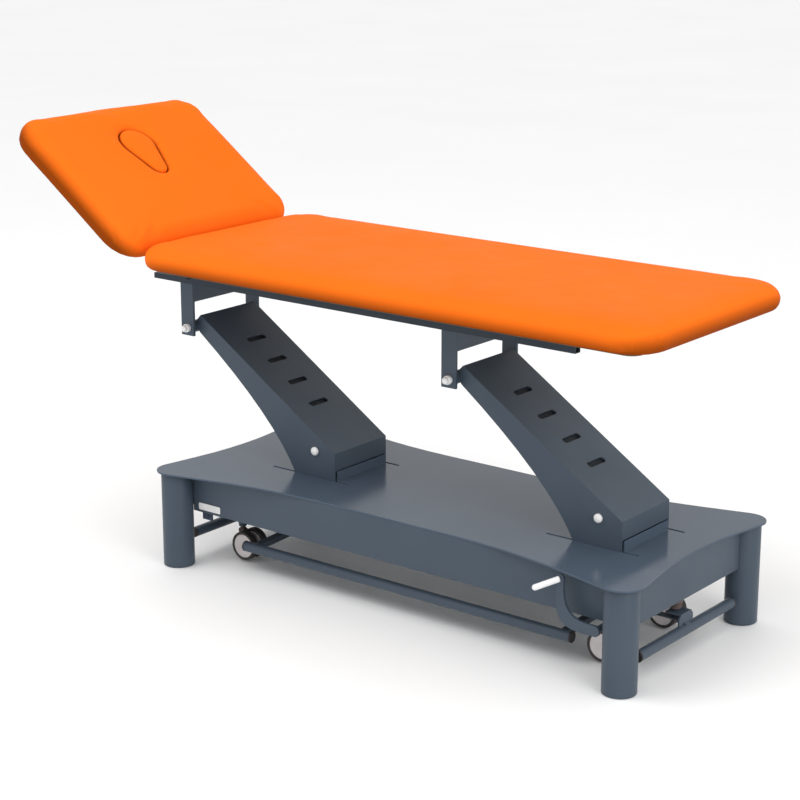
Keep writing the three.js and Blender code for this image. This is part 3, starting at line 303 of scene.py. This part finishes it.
def moulded(name, deep, light, smooth, rough, grain, depth, specular=0.45):
    """Moulded plastic or rubber: slight cloudiness and a fine spark-eroded texture."""
    material, tree, shader = new_material(name)
    where = object_coordinates(tree)
    cloudy = ramp(tree, noise(tree, where, 40.0, 3.0), (0.3, deep), (0.7, light))
    tree.links.new(cloudy, shader.inputs["Base Color"])
    tree.links.new(span(tree, noise(tree, where, 75.0, 3.0), smooth, rough), shader.inputs["Roughness"])
    rounded = node(tree, "Bevel", {"Radius": 0.0008}, samples=4).outputs[0]
    texture = bump(tree, noise(tree, where, grain, 2.0), depth, 0.3, rounded)
    tree.links.new(texture, shader.inputs["Normal"])
    shader.inputs["Specular IOR Level"].default_value = specular
    return material


HEAD_TILT = math.radians(35.72)  # the head section's rest angle
ORANGE = ((0.86, 0.154, 0.010), (0.90, 0.165, 0.012))  # the cover's deeper and lighter patches
FINISHES = {
    "paint": powder_coat("paint", (0.049, 0.067, 0.091), (0.055, 0.075, 0.100), 0.34, 0.46, 0.22),
    # the main pad's cover, with painted shade away from the direction (-0.6, 0.12, 1.0)
    "upholstery": leatherette("upholstery", *ORANGE, (-0.6, 0.12, 1.0)),
    "plywood": plywood("plywood", 0.0),
    "white_cap": moulded("white_cap", (0.74, 0.74, 0.75), (0.82, 0.82, 0.82), 0.22, 0.34, 900.0, 0.0001),
    "zinc": metal("zinc", (0.46, 0.47, 0.49), (0.64, 0.65, 0.67), 0.24, 0.42),
    "dark_plastic": moulded(
        "dark_plastic", (0.018, 0.019, 0.021), (0.030, 0.031, 0.034), 0.42, 0.58, 1500.0, 0.0002,
    ),
    "brown_rubber": moulded(
        "brown_rubber", (0.090, 0.062, 0.058), (0.125, 0.090, 0.084), 0.5, 0.66, 1100.0, 0.0002,
    ),
    "castor_wheel": moulded(
        "castor_wheel", (0.62, 0.57, 0.57), (0.70, 0.65, 0.65), 0.34, 0.46, 1200.0, 0.0001,
    ),
}
PLATE_PAINT = powder_coat("plate_paint", (0.060, 0.084, 0.120), (0.068, 0.093, 0.130), 0.12, 0.22, 0.14)
# A darker copy of the frame's paint for the rails and crossbars: painted shade from the pads above them.
SHADED_RAIL_PAINT = powder_coat("rail_painted_shade", (0.026, 0.036, 0.049), (0.030, 0.041, 0.055), 0.36, 0.48, 0.18)
HEAD_PLYWOOD = plywood("head_plywood", HEAD_TILT)
# The head pads' painted light direction, tilted with the head section; their cover copies the main one.
HEAD_PAINTED_LIGHT_FROM = Matrix.Rotation(HEAD_TILT, 3, "Y") @ Vector((0.25, 1.0, 1.0))
HEAD_UPHOLSTERY = leatherette("head_upholstery", *ORANGE, HEAD_PAINTED_LIGHT_FROM)
TYRE = moulded("tyre", (0.030, 0.026, 0.026), (0.046, 0.040, 0.039), 0.52, 0.70, 700.0, 0.0003)
# A near-black sheet under the arms' vents: painted shade seen through them.
VENT_SHADE_SHEET = moulded("vent_painted_shade", (0.020, 0.024, 0.030), (0.028, 0.033, 0.040), 0.60, 0.75, 800.0, 0.0002, 0.2)
END_CAP = moulded("end_cap", (0.012, 0.010, 0.010), (0.022, 0.018, 0.018), 0.45, 0.60, 1100.0, 0.0002)
NAMEPLATE = moulded("nameplate", (0.62, 0.62, 0.63), (0.70, 0.70, 0.70), 0.30, 0.42, 900.0, 0.0001)


def paint_frame():
    special = {"base_plate": PLATE_PAINT, "head_board": HEAD_PLYWOOD}
    # the rails and crossbars take the darker copy of the paint, as painted shade
    special |= {name: SHADED_RAIL_PAINT for name in ("rail_front", "rail_rear", "crossbar_head", "crossbar_foot")}
    for part in frame["record"]["subparts"]:
        name = part["node"]
        finish = special.get(name, FINISHES[part["material_slot"]])
        data = NODES[name].data
        data.materials.clear()
        data.materials.append(finish)


# ------------------------------------------------------------------------------------------------
# Mesh helpers
# ------------------------------------------------------------------------------------------------

AXES = {
    "X": Matrix(((0, 0, 1), (1, 0, 0), (0, 1, 0))).to_4x4(),
    "Y": Matrix(((1, 0, 0), (0, 0, 1), (0, -1, 0))).to_4x4(),
    "Z": Matrix.Identity(4),
}


def turned(shape, profile, axis, place, sides=64, closed=False):
    """Adds a profile of (radius, distance) in mm, turned round an axis through place.
    A closed profile is a ring's section; an open one starts and ends on the axis."""
    matrix = Matrix.Translation(place) @ AXES[axis]
    rings = []
    for radius, along in profile:
        if radius == 0:
            rings.append([shape.verts.new(matrix @ Vector((0, 0, along * MM)))])
            continue
        rings.append([
            shape.verts.new(matrix @ Vector((
                radius * MM * math.cos(2 * math.pi * i / sides),
                radius * MM * math.sin(2 * math.pi * i / sides),
                along * MM,
            )))
            for i in range(sides)
        ])
    pairs = list(zip(rings, rings[1:]))
    if closed:
        pairs.append((rings[-1], rings[0]))
    for low, high in pairs:
        for i in range(sides):
            j = (i + 1) % sides
            corners = [low[i % len(low)], low[j % len(low)], high[j % len(high)], high[i % len(high)]]
            unique = list(dict.fromkeys(corners))
            if len(unique) > 2:
                shape.faces.new(unique)


def dome(radius, start, height, steps=8):
    """Profile points of a shallow dome from its rim to the axis."""
    return [
        (radius * math.cos(math.pi / 2 * i / steps), start + height * math.sin(math.pi / 2 * i / steps))
        for i in range(steps)
    ] + [(0, start + height)]


def piece(name, shape, finish, body, sharp=math.radians(32)):
    """Turns the shape into an object that rides on a body; only edges beyond sharp stay crisp."""
    bmesh.ops.recalc_face_normals(shape, faces=shape.faces)
    for face in shape.faces:
        face.smooth = True
    for edge in shape.edges:
        edge.smooth = len(edge.link_faces) == 2 and edge.calc_face_angle(0.0) < sharp
    mesh = bpy.data.meshes.new(name)
    shape.to_mesh(mesh)
    shape.free()
    made = bpy.data.objects.new(name, mesh)
    SCENE.collection.objects.link(made)
    mesh.materials.append(finish)
    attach(made, body)
    return made


# ------------------------------------------------------------------------------------------------
# Upholstery
# ------------------------------------------------------------------------------------------------

# Lengths in mm.
PAD_EDGE_IN = 44  # how far a pad's rounded upper edge comes in
PAD_UNDER_IN = 20  # the same for its lower edge
PAD_WAIST = 0.4  # height of its widest line, as a share of its thickness
PAD_CORNER = 90
PAD_SLACK = 1.5  # room left at each side of a pad for the cloth to swell into
CROWN_ROOM = 2  # the same over its top
SWELL_LIMIT = 0.0045  # the farthest that the cloth moves, in metres
SWELL_FRAMES = 20
PLEAT_HEIGHT = 22
PLEAT_DEPTH = 0.8
PLEAT_COUNT = 18  # folds in a full turn


def rounded_ring(x0, x1, half_width, radius, steps):
    corners = (
        (x1 - radius, half_width - radius, 0),
        (x0 + radius, half_width - radius, 90),
        (x0 + radius, radius - half_width, 180),
        (x1 - radius, radius - half_width, 270),
    )
    points = []
    for cx, cy, start in corners:
        for i in range(steps + 1):
            angle = math.radians(start + 90 * i / steps)
            points.append((cx + radius * math.cos(angle), cy + radius * math.sin(angle)))
    return points


def stacked(outlines):
    """A closed shape through outlines of (points, height) in mm, from the lowest up."""
    shape = bmesh.new()
    rings = [[shape.verts.new((x * MM, y * MM, z * MM)) for x, y in points] for points, z in outlines]
    for low, high in zip(rings, rings[1:]):
        for i in range(len(low)):
            j = (i + 1) % len(low)
            shape.faces.new((low[i], low[j], high[j], high[i]))
    shape.faces.new(rings[-1])
    shape.faces.new(list(reversed(rings[0])))
    return shape


def prism(outline, low, high):
    return stacked([(outline, low), (outline, high)])


def pad_shape(x0, x1, half_width, bottom, top, corner):
    """A padded slab in mm: its sides round in from a waist, a little below and broadly above."""
    waist = bottom + PAD_WAIST * (top - bottom)
    steps = 12  # in each of the two roundings
    levels = []
    for i in range(steps):
        angle = math.pi / 2 * i / steps
        levels.append((PAD_UNDER_IN * (1 - math.sin(angle)), waist - (waist - bottom) * math.cos(angle)))
    for i in range(steps + 1):
        angle = math.pi / 2 * i / steps
        levels.append((PAD_EDGE_IN * (1 - math.cos(angle)), waist + (top - waist) * math.sin(angle)))
    return stacked([
        (rounded_ring(x0 + inset, x1 - inset, half_width - inset, corner - inset, 16), z)
        for inset, z in levels
    ])


PLUG = ((-363.3, -10, 53), (-276.3, -10, 28))  # the face plug's two end circles in the head section


def plug_outline(grow, steps=20):
    (x0, y0, r0), (x1, y1, r1) = PLUG
    side = math.acos((r0 - r1) / math.hypot(x1 - x0, y1 - y0))
    points = []
    for i in range(2 * steps + 1):
        angle = side + (2 * math.pi - 2 * side) * i / (2 * steps)
        points.append((x0 + (r0 + grow) * math.cos(angle), y0 + (r0 + grow) * math.sin(angle)))
    for i in range(steps + 1):
        angle = -side + 2 * side * i / steps
        points.append((x1 + (r1 + grow) * math.cos(angle), y1 + (r1 + grow) * math.sin(angle)))
    return points


def distance_to_plug(x, y):
    """From a point in mm to the plug's outline; negative inside it."""
    (x0, y0, r0), (x1, y1, r1) = PLUG
    length = math.hypot(x1 - x0, y1 - y0)
    slope = (r0 - r1) / length
    along = (x - x0) + abs(y - y0) * slope / math.sqrt(1 - slope * slope)
    t = min(max(along / length, 0.0), 1.0)
    return math.hypot(x - (x0 + t * (x1 - x0)), y - y0) - (r0 + t * (r1 - r0))


def baked(made):
    """Replaces an object's mesh with what its modifiers make of it."""
    bpy.context.view_layer.update()
    graph = bpy.context.evaluated_depsgraph_get()
    mesh = bpy.data.meshes.new_from_object(made.evaluated_get(graph))
    old = made.data
    made.modifiers.clear()
    made.data = mesh
    bpy.data.meshes.remove(old)


def inflate(made, held):
    """Swells the pad as pressurised cloth. held(point) is how firmly a point is held, 0 to 1."""
    group = made.vertex_groups.new(name="held")
    for vertex in made.data.vertices:
        group.add([vertex.index], held(vertex.co), "REPLACE")
    cloth = made.modifiers.new("swell", "CLOTH")
    settings = cloth.settings
    settings.quality = 5
    settings.mass = 0.3
    settings.use_pressure = True
    settings.uniform_pressure_force = 4.0
    settings.effector_weights.gravity = 0
    settings.vertex_group_mass = "held"
    cloth.point_cache.frame_start = 1
    cloth.point_cache.frame_end = SWELL_FRAMES
    for number in range(1, SWELL_FRAMES + 1):
        SCENE.frame_set(number)
    graph = bpy.context.evaluated_depsgraph_get()
    result = made.evaluated_get(graph).to_mesh()
    moves = [after.co - before.co for after, before in zip(result.vertices, made.data.vertices)]
    made.evaluated_get(graph).to_mesh_clear()
    made.modifiers.clear()
    made.vertex_groups.clear()
    for vertex, move in zip(made.data.vertices, moves):
        if move.length > SWELL_LIMIT:
            move *= SWELL_LIMIT / move.length
        vertex.co += move
    SCENE.frame_set(1)


def relaxed(made, rounds):
    smoother = made.modifiers.new("relax", "SMOOTH")
    smoother.factor = 0.5
    smoother.iterations = rounds


def soft_piece(name, shape, voxel, held, cutter=None):
    """Remeshes a shape, less the cutter if there is one, swells it, and subdivides it once."""
    mesh = bpy.data.meshes.new(name)
    bmesh.ops.recalc_face_normals(shape, faces=shape.faces)
    shape.to_mesh(mesh)
    shape.free()
    made = bpy.data.objects.new(name, mesh)
    SCENE.collection.objects.link(made)
    if cutter:
        cut = made.modifiers.new("cut", "BOOLEAN")
        cut.object = cutter
        cut.operation = "DIFFERENCE"
    remesh = made.modifiers.new("remesh", "REMESH")
    remesh.mode = "VOXEL"
    remesh.voxel_size = voxel
    relaxed(made, 5)
    baked(made)
    inflate(made, held)
    relaxed(made, 3)
    finer = made.modifiers.new("finer", "SUBSURF")
    finer.levels = 1
    finer.render_levels = 1
    baked(made)
    return made


def pleat(made, x0, x1, half_width, radius, bottom):
    """Small gathers where the cover is pulled round each corner, fading out up the side."""
    corners = [
        (cx, sy * (half_width - radius), sx, sy)
        for cx, sx in ((x0 + radius, -1), (x1 - radius, 1))
        for sy in (-1, 1)
    ]
    for vertex in made.data.vertices:
        x, y, z = vertex.co / MM
        rise = (z - bottom) / PLEAT_HEIGHT
        if not 0 <= rise < 1:
            continue
        for cx, cy, sx, sy in corners:
            dx, dy = (x - cx) * sx, (y - cy) * sy
            reach = math.hypot(dx, dy)
            if dx > 0 and dy > 0 and reach > radius * 0.75:
                angle = math.atan2(dy, dx)
                fade = math.sin(2 * angle) * (1 - rise) ** 1.5
                depth = PLEAT_DEPTH * fade * (0.5 + 0.5 * math.cos(PLEAT_COUNT * angle)) * MM
                vertex.co -= Vector((sx * dx / reach, sy * dy / reach, 0)) * depth


def dress(made, level, finish, body, fill, *stands_for):
    """Stands a soft piece in its level frame, and says what it is made of and moves with."""
    made.data.transform(level)
    for polygon in made.data.polygons:
        polygon.use_smooth = True
    made.data.materials.clear()
    made.data.materials.append(finish)
    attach(made, body)
    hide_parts(*stands_for)


def make_main_pad():
    low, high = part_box("main_cushion")
    level = Matrix.Translation(((low.x + high.x) / 2, 0, low.z))
    half_length = (high.x - low.x) / 2 / MM - PAD_SLACK
    half_width = (high.y - low.y) / 2 / MM - PAD_SLACK
    top = (high.z - low.z) / MM - CROWN_ROOM
    shape = pad_shape(-half_length, half_length, half_width, 0, top, PAD_CORNER)
    made = soft_piece("main_pad", shape, 0.009, lambda p: 1.0 if p.z < 0.007 else 0.0)
    pleat(made, -half_length, half_length, half_width, PAD_CORNER, 0)
    dress(made, level, FINISHES["upholstery"], "top_frame", 0.9, "main_cushion")


# The head section's pads, from its hinge along its slope and square to it, in mm.
HEAD_START = -25
HEAD_LENGTH = 502
HEAD_HALF_WIDTH = 325
HEAD_BOTTOM = 5
HEAD_TOP = 71
HEAD_CORNER = 80
OPENING_GAP = 1.4  # from the plug's outline out to the head pad's opening
PLUG_GAP = 1.2  # and in to the plug's own side
PLUG_ROUNDNESS = 6


def make_head_pad(level):
    x0 = HEAD_START - HEAD_LENGTH + PAD_SLACK
    x1 = HEAD_START - PAD_SLACK
    half_width = HEAD_HALF_WIDTH - PAD_SLACK
    opening = prism(plug_outline(OPENING_GAP), HEAD_BOTTOM - 10, HEAD_TOP + 20)
    bmesh.ops.recalc_face_normals(opening, faces=opening.faces)
    mesh = bpy.data.meshes.new("opening")
    opening.to_mesh(mesh)
    opening.free()
    cutter = bpy.data.objects.new("opening", mesh)
    SCENE.collection.objects.link(cutter)
    cutter.hide_render = True

    def held(p):
        if p.z < (HEAD_BOTTOM + 6) * MM:
            return 1.0
        return min(max((6 - distance_to_plug(p.x / MM, p.y / MM)) / 4, 0.0), 1.0)

    shape = pad_shape(x0, x1, half_width, HEAD_BOTTOM, HEAD_TOP - CROWN_ROOM, HEAD_CORNER)
    made = soft_piece("head_pad", shape, 0.006, held, cutter)
    bpy.data.objects.remove(cutter)
    pleat(made, x0, x1, half_width, HEAD_CORNER, HEAD_BOTTOM)
    dress(made, level, HEAD_UPHOLSTERY, "head_section", 0.9, "head_cushion")


def make_plug(level):
    top = HEAD_TOP - 1.5
    steps = 8
    levels = [(-2.5, HEAD_BOTTOM + 1), (-PLUG_GAP, HEAD_BOTTOM + 4)]
    for i in range(steps + 1):
        angle = math.pi / 2 * i / steps
        inset = PLUG_ROUNDNESS * (1 - math.cos(angle))
        levels.append((-PLUG_GAP - inset, top - PLUG_ROUNDNESS * (1 - math.sin(angle))))
    shape = stacked([(plug_outline(grow), z) for grow, z in levels])
    made = soft_piece("plug_pad", shape, 0.003, lambda p: 1.0 if p.z < (HEAD_TOP - 9) * MM else 0.0)
    dress(made, level, HEAD_UPHOLSTERY, "plug", 0.95, "face_plug")


def make_head_pads():
    level = Matrix.Translation(JOINTS["head_tilt"]["pos_m"]) @ Matrix.Rotation(HEAD_TILT, 4, "Y")
    make_head_pad(level)
    make_plug(level)


# ------------------------------------------------------------------------------------------------
# Hard pieces
# ------------------------------------------------------------------------------------------------

# Lengths in mm. A profile is a list of (radius, distance along the axis).
CAP_RADIUS = 10.8  # of the bolts' white caps
BAR_RADIUS = 13
HANDLE_RADIUS = 7
VENT_START, VENT_END = 88, 394  # the shade sheet's ends, from the cover's upper end
VENT_SHADE_HALF_WIDTH = 62
VENT_SHADE_DEPTH = 8  # below the cover's outer face
VENT_SHADE_T = 1.5
NAMEPLATE_X = (50, 123)  # from the head end's leg
NAMEPLATE_Z = (149, 167)
RIM_WIDTH = 1.4


def make_legs():
    """Round legs with a rolled lower rim, smoother than the frame's own."""
    for end in ENDS:
        for side in SIDES:
            node_name = f"leg_{end}_{side}"
            low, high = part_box(node_name)
            radius = (high.x - low.x) / 2 / MM
            top = high.z / MM
            shape = bmesh.new()
            profile = [
                (0, 5), (radius - 4.5, 5), (radius - 4.5, 1), (radius - 3.6, 0.2), (radius - 2.2, 0),
                (radius - 0.9, 0.5), (radius - 0.2, 1.6), (radius, 3),
                (radius, top - 1), (radius - 0.6, top), (0, top),
            ]
            turned(shape, profile, "Z", Vector((centre(node_name).x, centre(node_name).y, 0)), 96)
            made = piece(f"round_{node_name}", shape, FINISHES["paint"], "base")
            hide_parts(node_name)


def make_bolts():
    """Steel shafts with moulded white caps: shallow ones below, stepped ones on the hangers."""
    rim = CAP_RADIUS
    for end in ENDS:
        for height, body, proud in (("lower", "base", 9.0), ("upper", "top_frame", 20.0)):
            name = f"{height}_bolt_{end}"
            low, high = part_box(name)
            place = centre(name)
            face = (high.y - low.y) / 2 / MM - proud
            half = [(8, face - 0.2), (rim - 0.6, face - 0.2), (rim, face + 0.5)]
            if height == "upper":
                half += [(rim, face + 8), (rim - 0.8, face + 9), (8.6, face + 9.2), (8.3, face + 10)]
                half += dome(8.2, face + 15.5, 4.3)
            else:
                half += dome(rim, face + 3.5, proud - 3.7)
            profile = [(r, -y) for r, y in reversed(half)] + half
            shape = bmesh.new()
            turned(shape, profile, "Y", place, 48)
            made = piece(f"capped_{name}", shape, FINISHES["white_cap"], body)
            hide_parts(name)


TYRE_SECTION = [
    (30.2, 9.2), (32.5, 8.3), (35.6, 8.4), (37.1, 9.4), (37.5, 11), (37.5, 17), (37.5, 24.6), (37.1, 26.4),
    (35.8, 27.6), (33.6, 28), (31.4, 27.6), (30.2, 26.4),
]
DISC_SECTION = [
    (0, 25.4), (4.6, 25.4), (6.2, 24.9), (7.0, 23.8), (9.0, 23.0), (16, 22.5), (23.5, 22.9), (25.6, 23.6),
    (27.2, 25.0), (28.6, 25.9), (29.9, 25.9), (30.3, 25.2), (30.3, 9.6), (29.6, 9.0), (0, 9.0),
]


def make_castors():
    for end in ENDS:
        for side in SIDES:
            name = f"{end}_{side}"
            place = centre(f"castor_wheels_{name}")
            body = f"wheels_{name}"
            tyres, discs = bmesh.new(), bmesh.new()
            for hand in (-1, 1):
                turned(tyres, [(r, hand * y) for r, y in TYRE_SECTION], "Y", place, 72, closed=True)
                turned(discs, [(r, hand * y) for r, y in DISC_SECTION], "Y", place, 72)
            made = piece(f"castor_tyres_{name}", tyres, TYRE, body)
            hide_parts(f"castor_wheels_{name}")
            piece(f"castor_discs_{name}", discs, FINISHES["castor_wheel"], body)


def make_bar_caps():
    """Moulded plugs over the ends of the foot bars."""
    radius = BAR_RADIUS + 0.35
    half = [
        (0, -3), (11, -3), (radius, -3), (radius, 0.8),
        (radius - 0.6, 1.5), (11.2, 1.5), (10.4, 0.6), (0, 0.6),
    ]
    in_from = BAR_RADIUS * MM
    for name, axis in (("front", "X"), ("rear", "X"), ("head", "Y"), ("foot", "Y")):
        low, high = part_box(f"foot_bar_{name}")
        shape = bmesh.new()
        z = low.z + in_from
        if axis == "X":
            y = low.y + in_from if name == "front" else high.y - in_from
            ends = [(Vector((high.x, y, z)), 1), (Vector((low.x, y, z)), -1)]
        else:
            x = low.x + in_from if name == "head" else high.x - in_from
            ends = [(Vector((x, high.y, z)), 1), (Vector((x, low.y, z)), -1)]
        for place, hand in ends:
            turned(shape, [(r, hand * y) for r, y in half], axis, place, 48)
        piece(f"bar_caps_{name}", shape, END_CAP, f"bar_{name}")


def make_switches():
    """Switch housings with a ribbed boot over the plunger."""
    for end in ENDS:
        name = f"bar_switch_{end}"
        low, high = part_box(name)
        bottom, top = low.z / MM, high.z / MM
        profile = [(0, bottom), (11, bottom), (12.6, bottom + 1.5), (12.6, bottom + 4)]
        for rib in (bottom + 4, bottom + 8):
            profile += [(15.6, rib + 1.2), (15.6, rib + 2), (13.8, rib + 3.2)]
        profile += [(16.4, bottom + 14), (17, bottom + 15), (17, top - 1), (16.4, top), (0, top)]
        shape = bmesh.new()
        turned(shape, profile, "Z", Vector((centre(name).x, centre(name).y, 0)), 56)
        made = piece(f"booted_{name}", shape, FINISHES["brown_rubber"], "base")
        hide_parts(name)


def make_pedal_pin():
    """The white handle on the castor pedal: a round-ended rod leaning out from the lever."""
    low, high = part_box("pedal_pin")
    radius = HANDLE_RADIUS * MM
    start = Vector((high.x - radius, high.y - 0.0035, high.z - radius))
    tip = Vector((low.x + radius, low.y + radius, low.z + radius))
    length = (tip - start).length / MM
    root = [(r, -z) for r, z in reversed(dome(HANDLE_RADIUS, 0, 3))]
    shape = bmesh.new()
    turned(shape, root + dome(HANDLE_RADIUS, length, HANDLE_RADIUS), "Z", Vector((0, 0, 0)), 40)
    turn = (tip - start).to_track_quat("Z", "Y").to_matrix().to_4x4()
    bmesh.ops.transform(shape, matrix=Matrix.Translation(start) @ turn, verts=shape.verts)
    made = piece("pedal_handle", shape, FINISHES["white_cap"], "pedal")
    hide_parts("pedal_pin")


def make_vent_shade_sheets():
    """A dark sheet under each arm's cover, a little below its vents: painted shade seen through them."""
    for end in ENDS:
        pivot = Vector(JOINTS["lift" if end == "head" else "foot_arm_swing"]["pos_m"])
        top, foot = Vector((-380, 0, 290)), Vector((61, 0, 3))
        along = (foot - top).normalized()
        slope = Matrix.Rotation(math.atan2(-along.z, along.x), 4, "Y")
        outline = rounded_ring(VENT_START, VENT_END, VENT_SHADE_HALF_WIDTH, 8, 6)
        shape = prism(outline, -VENT_SHADE_DEPTH - VENT_SHADE_T, -VENT_SHADE_DEPTH)
        stand = Matrix.Translation(pivot + top * MM) @ slope
        bmesh.ops.transform(shape, matrix=stand, verts=shape.verts)
        piece(f"vent_shade_sheet_{end}", shape, VENT_SHADE_SHEET, f"{end}_arm")


def make_nameplate():
    """A blank white plate with a dark rim and two studs on the front skirt."""
    leg = centre("leg_head_front")
    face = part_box("skirt_front")[0].y / MM
    (x0, x1), (z0, z1) = NAMEPLATE_X, NAMEPLATE_Z
    half_height = (z1 - z0) / 2
    middle = Matrix.Translation((leg.x, (face - 0.2) * MM, (z0 + z1) / 2 * MM))
    stand = middle @ Matrix.Rotation(math.pi / 2, 4, "X")
    rim_outline = rounded_ring(x0 - RIM_WIDTH, x1 + RIM_WIDTH, half_height + RIM_WIDTH, 4, 5)
    rim = prism(rim_outline, -0.1, 0.5)
    bmesh.ops.transform(rim, matrix=stand, verts=rim.verts)
    piece("nameplate_rim", rim, END_CAP, "base")
    shape = prism(rounded_ring(x0, x1, half_height, 3, 5), 0.3, 1.2)
    top = [edge for edge in shape.edges if all(v.co.z > 1.0 * MM for v in edge.verts)]
    bmesh.ops.bevel(shape, geom=top, offset=0.0004, segments=2, affect="EDGES")
    for x in (x0 + 4.5, x1 - 4.5):
        turned(shape, [(0, 1.0), (1.7, 1.0), *dome(1.7, 1.2, 0.8, 4)], "Z", Vector((x * MM, 0, 0)), 20)
    bmesh.ops.transform(shape, matrix=stand, verts=shape.verts)
    piece("blank_nameplate", shape, NAMEPLATE, "base")


make_camera()
make_studio()
paint_frame()
make_main_pad()
make_head_pads()
make_legs()
make_bolts()
make_castors()
make_bar_caps()
make_switches()
make_pedal_pin()
make_vent_shade_sheets()
make_nameplate()
